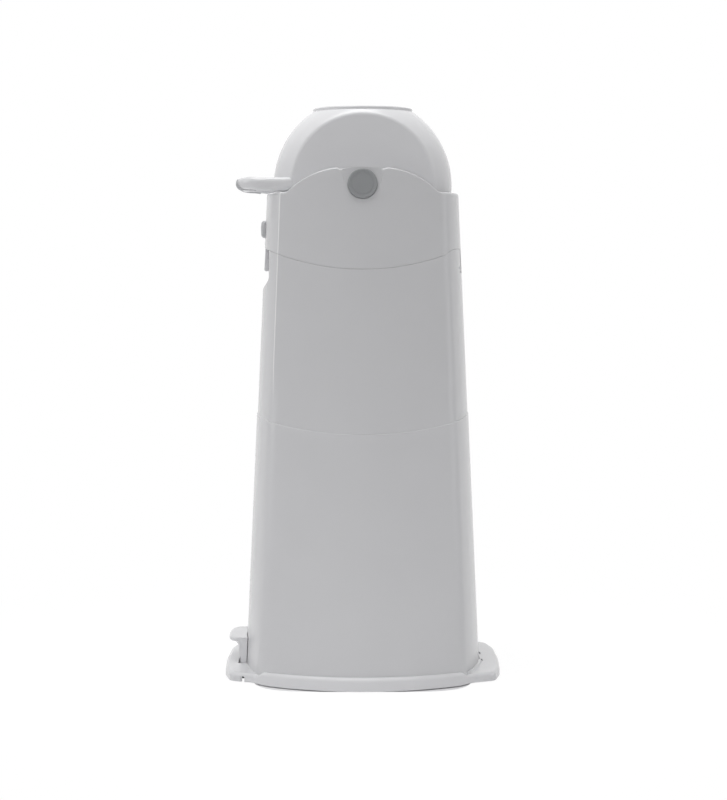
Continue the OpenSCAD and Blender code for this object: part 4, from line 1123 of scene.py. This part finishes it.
def bow_size(station):
    """Half width across the bow and half height at a station."""
    y = station[1]
    t = min(max((y - LEG_TAPER_Y) / (bar_y - LEG_TAPER_Y), 0.0), 1.0)
    drawn_in = ROOT_TUCK * smooth((90.0 - y) / 10.0)
    return lerp(LEG_W, BAR_W, barness(station)) / 2 - drawn_in, lerp(LEG_HALF_H, BAR_HALF_H, t)


def bow_point(station, angle, grow=0.0):
    """A point of the bow's section, at an angle round it and grown outward."""
    x, y, a = station
    half_out, half_up = bow_size(station)
    # The legs are a squared-off oval, the bar is nearly round
    power = lerp(0.76, 0.94, barness(station))
    squared = [math.copysign(abs(v) ** power, v) for v in (math.cos(angle), math.sin(angle))]
    out = (half_out + grow) * squared[0]
    up = (half_up + grow) * squared[1]
    rise = LOW_RISE + HANDLE_RISE * smooth((y - RISE_FROM_Y) / RISE_LENGTH)
    return (x + out * math.cos(a), -(y + out * math.sin(a)), AXIS_Z + rise + up)


stations = bow_stations()
section = [2 * math.pi * i / SECTION_POINTS for i in range(SECTION_POINTS)]
handle = skin_along("handle_bow", [[bow_point(s, angle) for angle in section] for s in stations])
dress(handle, white_painted_lighter, "drum", "white_gloss", "handle", crease_deg=60)

# %% Grip


def grip_ring(station):
    """A thin strip with rounded long edges: under the bends, and round the outside at the front."""
    ring = []
    front = smooth((barness(station) - 0.78) / 0.22)
    grip_low, grip_high = math.radians(lerp(-100, -72, front)), math.radians(lerp(-80, 48, front))
    steps = 18
    for i in range(steps + 1):
        t = i / steps
        lift = min(1.0, math.sqrt(max(min(t, 1 - t) * 14, 0.0)))
        ring.append(bow_point(station, lerp(grip_low, grip_high, t), GRIP_T * lift))
    ring += [bow_point(station, lerp(grip_high, grip_low, (i + 0.5) / steps), -GRIP_SUNK)
             for i in range(steps)]
    return ring


grip_from_y = HANDLE_REACH - GRIP_REACH - 3
grip = skin_along("handle_grip_strip", [grip_ring(s) for s in stations if s[1] > grip_from_y])
dress(grip, grip_rubber, "drum", "dark_rubber", "handle_grip", crease_deg=50)

# %% [markdown]
# ## Button and latch tongue
# The button is a small block with a softly rounded face, so that a finger finds it without looking.
# The latch's tongue hangs below it in front of the recess, with a round lower end that a finger can
# also hook. It leans out a little towards that end, which leaves room behind it. The button's face is
# a grid bent over its edges, so the shine runs over it without the flat spot of a bevelled cube. The
# tongue has the same outline all along, so it is a prism.

# %% Push button
BUTTON_PROUD = 4.8
button_face = upper_half(BUTTON_Z)[1] + BUTTON_PROUD


def domed_block(name, half_w, low_z, high_z, front, back, bulge, corner):
    """A block with a bulging front face and a soft border, as a grid bent over its edges."""
    nx, nz = 28, 22
    mid_z, half_h = (low_z + high_z) / 2, (high_z - low_z) / 2
    points = []
    rows = []
    for j in range(nz + 1):
        row = []
        for i in range(nx + 1):
            s, t = lerp(-1, 1, i / nx), lerp(-1, 1, j / nz)
            # Spacing is finer near the border so that the rounding is smooth
            s, t = math.sin(s * math.pi / 2), math.sin(t * math.pi / 2)
            # The outline is a rectangle with well-rounded corners, and the rows inside follow it
            rim_share = max(abs(s), abs(t))
            s, t = [v * rim_share / max((abs(s) ** 5 + abs(t) ** 5) ** 0.2, 1e-9) for v in (s, t)]
            edge = half_h * (1 - rim_share)
            roundness = 0.0 if edge >= corner else corner - math.sqrt(corner ** 2 - (corner - edge) ** 2)
            dome = bulge * (1 - min(1.0, (s * s + t * t) / 1.1))
            row.append(len(points))
            points.append((half_w * s, -front + roundness - dome, mid_z + half_h * t))
        rows.append(row)
    faces = [(rows[j][i], rows[j][i + 1], rows[j + 1][i + 1], rows[j + 1][i])
             for j in range(nz) for i in range(nx)]
    border = rows[0] + [r[-1] for r in rows[1:]] + rows[-1][-2::-1] + [r[0] for r in rows[-2:0:-1]]
    rear = []
    for index in border:
        x, _, z = points[index]
        rear.append(len(points))
        points.append((x, -back, z))
    n = len(border)
    faces += [(border[i], rear[i], rear[(i + 1) % n], border[(i + 1) % n]) for i in range(n)]
    faces.append(tuple(rear))
    return mesh_object(name, points, faces)


button = domed_block("push_button", BUTTON_W / 2, BUTTON_Z - BUTTON_H / 2, BUTTON_Z + BUTTON_H / 2,
                     button_face, PIVOT_Y + 6, bulge=0.9, corner=3.6)
soften(button, 0.9, 3, 60)
dress(button, button_grey, "button", "grey_plastic", "release_button", crease_deg=50)

# %% Latch tongue
TONGUE_Y, TONGUE_T, TONGUE_Z = 122.8, 5.6, 498.0
TONGUE_LEAN = 1.7
tongue_in = TONGUE_Y - TONGUE_T
tongue_half = TONGUE_W / 2 - 1.2
tongue_outline = rounded_outline([
    (-TONGUE_Y + TONGUE_LEAN, 528.0, 0.8), (-TONGUE_Y, TONGUE_Z, 2.6), (-tongue_in, TONGUE_Z, 2.6),
    (-tongue_in, CATCH_Z - 2.5, 0), (-tongue_in + 0.8, CATCH_Z - 2.0, 0),
    (-tongue_in + 0.8, CATCH_Z + 2.0, 0), (-tongue_in, CATCH_Z + 2.5, 0),
    (-tongue_in, 525.2, 0.5), (-PIVOT_Y + 2.5, 525.2, 1.0), (-PIVOT_Y + 4.4, PIVOT_Z, 1.5),
    (-PIVOT_Y + 2.0, PIVOT_Z + 3.8, 1.5), (-PIVOT_Y - 2.5, PIVOT_Z + 3.8, 1.5),
    (-PIVOT_Y - 4.4, PIVOT_Z, 1.0), (-PIVOT_Y - 3.5, 528.0, 0)])
tongue = soften(prism_x("latch_tongue", tongue_outline, -tongue_half, tongue_half), 1.0, 3, 50)
dress(tongue, tongue_grey, "latch", "pale_plastic", "latch_rocker")
rocker_arm = block("latch_upper_arm", (-6.5, -115, PIVOT_Z + 2), (6.5, -112, BUTTON_Z + 4.5))
soften(rocker_arm, 0.6, 2)
dress(rocker_arm, tongue_grey, "latch", "pale_plastic")

# %% [markdown]
# ## Pedal
# The pedal is one moulding: a stem that comes up through a slot and a wide tread with round ends. The
# stem is as wide as the tread, and its back follows the curve of the body's face. It is made as slices
# across X. Towards its ends the tread's front edge draws back, and its underside sweeps down into the
# stem with a large fillet, so that a foot's weight does not crack it.

# %% Pedal
PEDAL_Y, PEDAL_Z = 146.0, 4.8
TREAD_TOP, TREAD_W = 42.6, 75.0
STEM_FRONT, STEM_GAP, HUB_HALF = 152.0, 0.7, 22.0
TREAD_TIP_R, FILLET_DEEP = 2.9, 16.0
STEM_FOOT_Z = 9.0
# Distances of the slices from the middle: close together where the hub ends and towards the tips
SLICES = (0.0, 8.0, 16.0, 20.0, 21.5, 22.0, 22.01, 22.5, 23.2, 24.0, 25.0, 26.0, 27.5, 29.0, 30.5,
          32.0, 33.5, 34.5, 35.3, 36.0, 36.5, 36.9, 37.2, 37.4, 37.5)
tread_reach = lower_half(BASE_TOP)[1] + 21.4


def stem_back_at(x, z):
    """The stem's back follows the curve and the lean of the body's front face."""
    return face_distance(x, *lower_half(max(z, BASE_TOP))) + STEM_GAP


def stem_front_at(z):
    """The stem grows thicker from the slot up to the tread."""
    return STEM_FRONT + 2.0 * smooth((z - 16) / 14)


def pedal_slice(x):
    """The pedal's outline at one distance from the middle, with equally many points everywhere."""
    share = min(abs(x) / (TREAD_W / 2), 1.0)
    full = (1 - share ** 3.2) ** (1 / 2.4)
    tip = STEM_FRONT + 1.0 + (tread_reach - STEM_FRONT - 1.0) * full
    r = TREAD_TIP_R * (0.35 + 0.65 * full)
    back_top, tip_z = stem_back_at(x, TREAD_TOP), TREAD_TOP - r
    out = [(-back_top, TREAD_TOP), (-lerp(back_top, tip - r, 0.5), TREAD_TOP + 0.15)]
    out += [(-(tip - r) - r * math.sin(math.radians(a)), tip_z + r * math.cos(math.radians(a)))
            for a in range(0, 181, 15)]
    # Concave sweep from the tip's underside to the stem
    root_y, root_z = stem_front_at(TREAD_TOP - FILLET_DEEP), TREAD_TOP - FILLET_DEEP
    start_y, start_z = tip - r, tip_z - r
    for i in range(1, 11):
        a = math.pi / 2 * i / 10
        y = lerp(start_y, root_y, math.sin(a)) if start_y > root_y else lerp(start_y, root_y, i / 10)
        out.append((-y, lerp(start_z, root_z, 1 - math.cos(a))))
    out += [(-stem_front_at(z), z) for z in (22.0, 18.0, 14.0, 10.0)]
    if abs(x) <= HUB_HALF:
        # The hub round the pin, below the slot
        out += [(-stem_front_at(5.5), 5.5), (-stem_front_at(3.3), PEDAL_Z - 1.5),
                (-PEDAL_Y - 2.0, PEDAL_Z - 3.6), (-PEDAL_Y + 2.0, PEDAL_Z - 3.2),
                (-PEDAL_Y + 3.6, PEDAL_Z), (-PEDAL_Y + 2.4, PEDAL_Z + 2.6)]
    else:
        back = stem_back_at(x, STEM_FOOT_Z)
        out += [(-lerp(STEM_FRONT, back, i / 7), STEM_FOOT_Z) for i in range(1, 7)]
    out += [(-stem_back_at(x, z), z) for z in (STEM_FOOT_Z, 14.0, 20.0, 28.0)]
    return [(x, y, z) for y, z in out]


pedal_x = sorted({side * x for side in (-1, 1) for x in SLICES})
pedal = skin_along("pedal_moulding", [pedal_slice(x) for x in pedal_x])
dress(pedal, white_painted_lighter, "pedal", "white_gloss", "pedal", crease_deg=42)
hook = soften(block("pedal_hook", (-HOOK_HALF, -149.0, HOOK_LOW), (HOOK_HALF, -142.6, HOOK_HIGH)), 0.5, 2)
dress(hook, white_painted_lighter, "pedal", "white_gloss")

# %% [markdown]
# ## Base plate
# The base is a wide moulding with a soft upper edge. Its outline is the larger of two shapes, the long
# ears that run front to back and the round side lobes, blended where they meet. A lip hugs the body's
# foot. It is flat on the lobes. In front it dies away at once, and behind it runs on as a narrow ridge
# as far as the slot. The plate is hollow below, with ribs, so that it stays flat when it cools. Two
# joined solids would meet in a sharp line, so each column of points measures both shapes along its own
# ray and takes the larger reach with a soft blend.

# %% Outline and lip of the base plate
EAR_TOP = 11.5
LOBE_HALF, LOBE_DEPTH = 154.6, 140.6
LIP_TOP, FOOT_DROP, BASE_SKIN = 17.0, 1.0, 2.5
# Below the plate's skin it is hollow up to this height
HOLLOW_TOP = 8.0
EDGE_EAR, EDGE_LOBE = 4.4, 5.2
FOOT_GAP = 0.4


def ray_reach(outline, angle):
    """Distance from the middle to a convex outline, along a direction."""
    dx, dy = math.cos(angle), math.sin(angle)
    best = 0.0
    for (x0, y0), (x1, y1) in zip(outline, outline[1:] + outline[:1]):
        ex, ey = x1 - x0, y1 - y0
        cross = dx * ey - dy * ex
        if abs(cross) < 1e-12:
            continue
        t = (x0 * ey - y0 * ex) / cross
        u = (x0 * dy - y0 * dx) / cross
        if t > 0 and -1e-9 <= u <= 1 + 1e-9:
            best = max(best, t)
    return best


def soft_max(a, b, blend):
    """The larger of two values, rounded over where they are nearly equal."""
    near = max(0.0, 1 - abs(a - b) / blend)
    return max(a, b) + blend / 4 * near * near


def scaled_plan(half_w, half_d):
    """The body's soft plan, scaled to these half sizes."""
    return [(u * half_w / SHOULDER[0], v * half_d / SHOULDER[1]) for u, v in SOFT_PLAN]


# A quarter of the ears' outline: half width, reach and corner radius, from the end to inside the lobe
ear_quarter = [(60.0, 169.0, 60.0), (92.5, 161.6, 14.0), (112.0, 116.0, 0.0), (98.0, 60.0, 0.0)]
ear_half = ([(0.0, 171.1, 200.0)] + ear_quarter + [(x, -y, r) for x, y, r in ear_quarter[::-1]]
            + [(0.0, -171.1, 200.0)])
ears = rounded_outline(ear_half + [(-x, y, r) for x, y, r in ear_half[-2:0:-1]], steps=10)
lobes = scaled_plan(LOBE_HALF, LOBE_DEPTH)
foot_x, foot_y = lower_half(BASE_TOP)
foot = scaled_plan(foot_x + FOOT_GAP, foot_y + FOOT_GAP)


def base_column(angle):
    """One loop from under the plate round its edge, over the top to the middle."""
    ear, lobe, body = (ray_reach(o, angle) for o in (ears, lobes, foot))
    on_lobe = smooth((lobe - ear + 4) / 11)
    reach = soft_max(soft_max(ear, lobe, 8.0), body + 2.5, 6.0)
    top = lerp(EAR_TOP, LIP_TOP, on_lobe)
    # Angles above half a turn are in front, where the lip dies away early
    steep = math.degrees(math.acos(abs(math.cos(angle))))
    fade = smooth((steep - 78) / 3) if angle < math.pi else smooth((steep - 45) / 6)
    ridge = max(top, lerp(LIP_TOP - 2.0, EAR_TOP, fade) if on_lobe < 0.5 else top)
    r = lerp(EDGE_EAR, EDGE_LOBE, on_lobe)
    shoulder = min(body + lerp(3.6, 9.0, on_lobe), reach - r)
    crest = min(body + lerp(2.2, 3.2, on_lobe), shoulder)
    profile = [(reach * 0.5, HOLLOW_TOP), (reach - BASE_SKIN - 0.4, HOLLOW_TOP),
               (reach - BASE_SKIN, FOOT_DROP), (reach - 0.5, FOOT_DROP), (reach, FOOT_DROP + 0.5)]
    profile += [(reach - r * (1 - math.cos(math.radians(a))), top - r + r * math.sin(math.radians(a)))
                for a in range(0, 91, 10)]
    profile += [(lerp(reach - r, shoulder, t), top) for t in (0.35, 0.7, 1.0)]
    profile += [(lerp(shoulder, crest, t), lerp(top, ridge, smooth(t))) for t in (0.25, 0.5, 0.75, 1.0)]
    profile += [(body - 0.4, ridge), (body - 0.6, ridge - 0.3), (body - 0.3, BASE_TOP),
                (reach * 0.5, BASE_TOP)]
    return [(d * math.cos(angle), d * math.sin(angle), z) for d, z in profile]


def base_plate_skin():
    """The whole plate: columns all round, closed in the middle above and below."""
    steps = 540
    columns = [base_column(2 * math.pi * i / steps) for i in range(steps)]
    n = len(columns[0])
    points = [p for column in columns for p in column]
    faces = strips_round(steps, n)
    faces.append(tuple(k * n for k in range(steps)))
    faces.append(tuple(k * n + n - 1 for k in range(steps - 1, -1, -1)))
    return mesh_object("base_plate_skin", points, faces)


base = base_plate_skin()

# %% Slots, notches and ribs of the base plate
CUT_TOP = 20.0
PEDAL_SLOT_HALF, PEDAL_SLOT_FRONT, PEDAL_SLOT_BACK = 38.4, 154.8, 141.6
TAB_HALF, TAB_DEPTH = 22.0, 4.4
# The pin's end shows in a notch with a round top
PIN_NOTCH_R, PIN_NOTCH_Z, PIN_NOTCH_IN, PIN_NOTCH_OUT = 2.6, 5.4, 96.6, 110.0
RIB_PLACE, RIB_HALF, RIB_LOW, RIB_HIGH = 52.0, 1.2, 1.2, 8.2
RIB_ACROSS, RIB_ALONG = 140.0, 138.0
slot_y = lower_half(BASE_TOP)[1] - 3.6
notch = [(-PEDAL_Y - PIN_NOTCH_R, -1.0), (-PEDAL_Y + PIN_NOTCH_R, -1.0)]
notch += arc(-PEDAL_Y, PIN_NOTCH_Z, PIN_NOTCH_R, 0, 180, 10)
cut(base,
    block("pedal_slot", (-PEDAL_SLOT_HALF, -PEDAL_SLOT_FRONT, -5),
          (PEDAL_SLOT_HALF, -PEDAL_SLOT_BACK, CUT_TOP)),
    block("tab_slot", (-TAB_HALF, slot_y, -5), (TAB_HALF, slot_y + TAB_DEPTH, CUT_TOP)),
    block("tab_notch_right", (14, slot_y + 3, EAR_TOP - 2.0), (27, slot_y + TAB_DEPTH + 3, CUT_TOP)),
    block("tab_notch_left", (-27, slot_y + 3, EAR_TOP - 2.0), (-14, slot_y + TAB_DEPTH + 3, CUT_TOP)),
    prism_x("pin_notch_right", notch, PIN_NOTCH_IN, PIN_NOTCH_OUT),
    prism_x("pin_notch_left", notch, -PIN_NOTCH_OUT, -PIN_NOTCH_IN))
dress(base, white_painted_lighter, "root", "white_gloss", "base_plate", crease_deg=40)
for rib_y in (-RIB_PLACE, RIB_PLACE):
    rib = block("base_rib_across", (-RIB_ACROSS, rib_y - RIB_HALF, RIB_LOW),
                (RIB_ACROSS, rib_y + RIB_HALF, RIB_HIGH))
    dress(rib, white_painted_lighter, "root", "white_gloss")
for rib_x in (-RIB_PLACE, RIB_PLACE):
    rib = block("base_rib_along", (rib_x - RIB_HALF, -RIB_ALONG, RIB_LOW),
                (rib_x + RIB_HALF, RIB_ALONG, RIB_HIGH))
    dress(rib, white_painted_lighter, "root", "white_gloss")

# %% [markdown]
# ## CAD nodes that keep their shape
# The liner, the seals, the feet, the piston, the springs and the pins are right as they are. They get
# a material, and a small node modifier that shades their faceted arcs smoothly and keeps their form.

# %% Smooth shading by angle, as a modifier


def smooth_shading_group(limit_deg):
    """A node group that shades smoothly wherever faces meet at less than the limit."""
    group = bpy.data.node_groups.new("shade_by_angle", "GeometryNodeTree")
    group.interface.new_socket("Geometry", in_out="INPUT", socket_type="NodeSocketGeometry")
    group.interface.new_socket("Geometry", in_out="OUTPUT", socket_type="NodeSocketGeometry")
    nodes, links = group.nodes, group.links
    start, end = nodes.new("NodeGroupInput"), nodes.new("NodeGroupOutput")
    weld = nodes.new("GeometryNodeMergeByDistance")
    weld.inputs["Distance"].default_value = 1e-6
    faces = nodes.new("GeometryNodeSetShadeSmooth")
    edges = nodes.new("GeometryNodeSetShadeSmooth")
    edges.domain = "EDGE"
    angle = nodes.new("GeometryNodeInputMeshEdgeAngle")
    flat = nodes.new("FunctionNodeCompare")
    flat.operation = "LESS_THAN"
    flat.inputs[1].default_value = math.radians(limit_deg)
    links.new(start.outputs[0], weld.inputs["Geometry"])
    links.new(weld.outputs["Geometry"], faces.inputs["Geometry"])
    links.new(faces.outputs["Geometry"], edges.inputs["Geometry"])
    links.new(angle.outputs["Unsigned Angle"], flat.inputs[0])
    links.new(flat.outputs[0], edges.inputs["Shade Smooth"])
    links.new(edges.outputs["Geometry"], end.inputs[0])
    return group


shade_group = smooth_shading_group(28)
kept_nodes = {
    "rubber_feet": soft_rubber, "pedal_pin": pin_steel,
    "pedal_spring": pin_steel, "bag_ring": satin_pale, "hinge_pin": pin_steel,
    "hood_liner": satin_pale, "drum_seal": soft_rubber, "axle_bushes": dark_acetal,
    "liner_screws": pin_steel, "latch_pin": pin_steel, "latch_spring": pin_steel,
    "bore_tube": satin_pale, "handle_screws": pin_steel, "piston_body": satin_pale,
    "piston_cover": satin_pale, "piston_seal": soft_rubber,
}
for name, material in kept_nodes.items():
    node = frame["nodes"][name]
    for slot in node.material_slots:
        slot.material = material
    modifier = node.modifiers.new("shading", "NODES")
    modifier.node_group = shade_group
print("kept nodes:", len(kept_nodes))

# %% [markdown]
# ## Floor and light
# A plain white floor and a white world stand for a studio sweep. Camera and mirror rays see plain
# white, so the background has no horizon, while the floor keeps a trace of the bin's shadow. The
# light is mostly a soft box overhead, whose light the floor throws back up, with weak boxes towards
# the bin's front, towards its back and low behind the camera. A long, low card close to the floor
# brightens the foot. The camera sees none of the lamps, only their light.

# %% Stage


def seen_directly(material):
    """1 for rays that reach the background from the camera, a mirror or glass, else 0."""
    rays = add_node(material, "ShaderNodeLightPath")
    seen = add_node(material, "ShaderNodeMath", {"operation": "MAXIMUM"},
                    i0=rays.outputs["Is Camera Ray"], i1=rays.outputs["Is Glossy Ray"])
    return add_node(material, "ShaderNodeMath", {"operation": "MAXIMUM"},
                    i0=seen.outputs[0], i1=rays.outputs["Is Transmission Ray"]).outputs[0]


def mix_closure(material, factor, first, second):
    """Mixes two shaders by a factor: 0 gives the first and 1 the second."""
    mixed = material.node_tree.nodes.new("ShaderNodeMixShader")
    for socket, value in zip(mixed.inputs, (factor, first.outputs[0], second.outputs[0])):
        material.node_tree.links.new(value, socket)
    return mixed


# A part of the real shading stays in view near the bin, so that the shadow under the base shows. It
# fades to none at the far distance, and the glow makes up what the paper's own shade takes away.
SHADE_NEAR, SHADE_FAR, SHADE_KEPT = 0.1, 0.7, 0.12
GLOW_GAIN = 0.5
FLOOR_HALF = 6000.0
floor_paint = new_material("white_studio_floor")
place = add_node(floor_paint, "ShaderNodeTexCoord").outputs["Object"]
reach = add_node(floor_paint, "ShaderNodeVectorMath", {"operation": "LENGTH"}, i0=place).outputs["Value"]
kept = add_node(floor_paint, "ShaderNodeMapRange", {"interpolation_type": "SMOOTHSTEP"}, Value=reach,
                From_Min=SHADE_NEAR, From_Max=SHADE_FAR, To_Min=SHADE_KEPT, To_Max=0.0)
# Right under the base the paper keeps all of its shade, so that the slots look dark
spot = add_node(floor_paint, "ShaderNodeSeparateXYZ", Vector=place)


def within(half_x, half_y):
    """1 where the floor lies inside a squared-off oval with these half sizes in millimetres."""
    powers = []
    for axis_name, half in (("X", half_x), ("Y", half_y)):
        size = add_node(floor_paint, "ShaderNodeMath", {"operation": "ABSOLUTE"}, i0=spot.outputs[axis_name])
        part = add_node(floor_paint, "ShaderNodeMath", {"operation": "DIVIDE"}, i0=size.outputs[0],
                        i1=half * MM)
        powers.append(add_node(floor_paint, "ShaderNodeMath", {"operation": "POWER"}, i0=part.outputs[0],
                               i1=5.0))
    total = add_node(floor_paint, "ShaderNodeMath", {"operation": "ADD"}, i0=powers[0].outputs[0],
                     i1=powers[1].outputs[0])
    return add_node(floor_paint, "ShaderNodeMath", {"operation": "LESS_THAN"}, i0=total.outputs[0], i1=1.0)


under = add_node(floor_paint, "ShaderNodeMath", {"operation": "MAXIMUM"}, i0=within(149.0, 135.0).outputs[0],
                 i1=within(88.0, 164.0).outputs[0])
kept = add_node(floor_paint, "ShaderNodeMath", {"operation": "MAXIMUM"}, i0=kept.outputs["Result"],
                i1=under.outputs[0])
bright = add_node(floor_paint, "ShaderNodeMath", {"operation": "MULTIPLY_ADD"},
                  i0=kept.outputs[0], i1=GLOW_GAIN, i2=1.0)
glow = add_node(floor_paint, "ShaderNodeEmission", Color=(1, 1, 1, 1), Strength=bright.outputs[0])
paper = add_node(floor_paint, "ShaderNodeBsdfDiffuse", Color=linear("#F4F4F5"))
blend_in = add_node(floor_paint, "ShaderNodeMath", {"operation": "SUBTRACT"}, i0=1.0,
                    i1=kept.outputs[0])
share = add_node(floor_paint, "ShaderNodeMath", {"operation": "MULTIPLY"},
                 i0=seen_directly(floor_paint), i1=blend_in.outputs[0])
finish_material(floor_paint, mix_closure(floor_paint, share.outputs[0], paper, glow))
floor = mesh_object("floor", [(-FLOOR_HALF, -FLOOR_HALF, 0), (FLOOR_HALF, -FLOOR_HALF, 0),
                              (FLOOR_HALF, FLOOR_HALF, 0), (-FLOOR_HALF, FLOOR_HALF, 0)], [(0, 1, 2, 3)])
floor.data.materials.append(floor_paint)

# %% World
WORLD_FILL, WORLD_SEEN = 0.178, 1.0
world = bpy.data.worlds.new("white_studio")
bpy.context.scene.world = world
world.use_nodes = True
world.node_tree.nodes.clear()
fill = add_node(world, "ShaderNodeBackground", Color=linear("#FFFFFF"), Strength=WORLD_FILL)
white = add_node(world, "ShaderNodeBackground", Color=linear("#FFFFFF"), Strength=WORLD_SEEN)
sweep = mix_closure(world, seen_directly(world), fill, white)
world_out = add_node(world, "ShaderNodeOutputWorld")
world.node_tree.links.new(sweep.outputs[0], world_out.inputs["Surface"])
print("world nodes:", len(world.node_tree.nodes))

# %% Lamps


def soft_box(name, place, aim, width, height, watts):
    """A soft box at a place in metres, turned to a point. The camera doesn't see it."""
    light = bpy.data.lights.new(name, "AREA")
    light.shape = "RECTANGLE"
    light.size, light.size_y = width, height
    light.energy = watts
    lamp = bpy.data.objects.new(name, light)
    lamp.location = place
    lamp.visible_camera = False
    lamp.rotation_euler = (Vector(aim) - Vector(place)).to_track_quat("-Z", "Y").to_euler()
    bpy.context.scene.collection.objects.link(lamp)
    return lamp


# Places and sizes are in metres and strengths in watts. The front box is the stronger of the pair
# that face each other, which models the body's curve from front to back
soft_box("front_box", (0.3, -2.8, 1.2), (0, 0, 0.4), 1.6, 2.2, 11.2)
soft_box("back_box", (0.3, 2.8, 1.2), (0, 0, 0.4), 1.6, 2.2, 9.0)
low_box = soft_box("low_box", (3.2, -0.6, 0.5), (0, 0, 0.3), 1.8, 0.9, 6.6)
soft_box("overhead_box", (0.1, -0.2, 2.8), (0, 0, 0.4), 2.0, 2.0, 45.5)
floor_card = soft_box("floor_card", (0.65, 0, 0.04), (0, 0, 0.04), 0.8, 0.05, 0.28)
# Mirror rays see the white sweep in place of these two, so that no streak shows on the flat side
low_box.visible_glossy = floor_card.visible_glossy = False
print("lamps:", ", ".join(light.name for light in bpy.data.lights))

# %% [markdown]
# ## Camera
# The photograph looks at the bin's right side from about two and a half metres, a little below the
# drum's axle, with the frame's long side upright. It looks down by about two degrees, and a small
# vertical shift puts the bin where the photograph's framing has it.

# %% Camera
IMAGE_W, IMAGE_H = 727, 800
SENSOR_MM = 36.0
# The focal length and the place of the view's centre, in the photograph's pixels
FOCAL_PX = 1951.5
CAMERA_X = 2.45
CAMERA_Z = 0.518
PITCH_DEG = 1.898
CENTRE_PX = (362.7, 320.0)

camera_data = bpy.data.cameras.new("camera")
camera_data.sensor_fit = "VERTICAL"
camera_data.sensor_height = SENSOR_MM
camera_data.lens = SENSOR_MM * FOCAL_PX / IMAGE_H
pitch = math.radians(PITCH_DEG)
camera_data.shift_x = (IMAGE_W / 2 - CENTRE_PX[0]) / IMAGE_H
camera_data.shift_y = (CENTRE_PX[1] - IMAGE_H / 2) / IMAGE_H
camera = bpy.data.objects.new("camera", camera_data)
camera.location = (CAMERA_X, 0.0, CAMERA_Z)
camera.rotation_euler = (math.pi / 2 - pitch, 0.0, math.pi / 2)
bpy.context.scene.collection.objects.link(camera)
bpy.context.scene.camera = camera
bpy.context.scene.view_settings.view_transform = "Standard"
print(f"camera pitch {math.degrees(pitch):.2f} degrees")
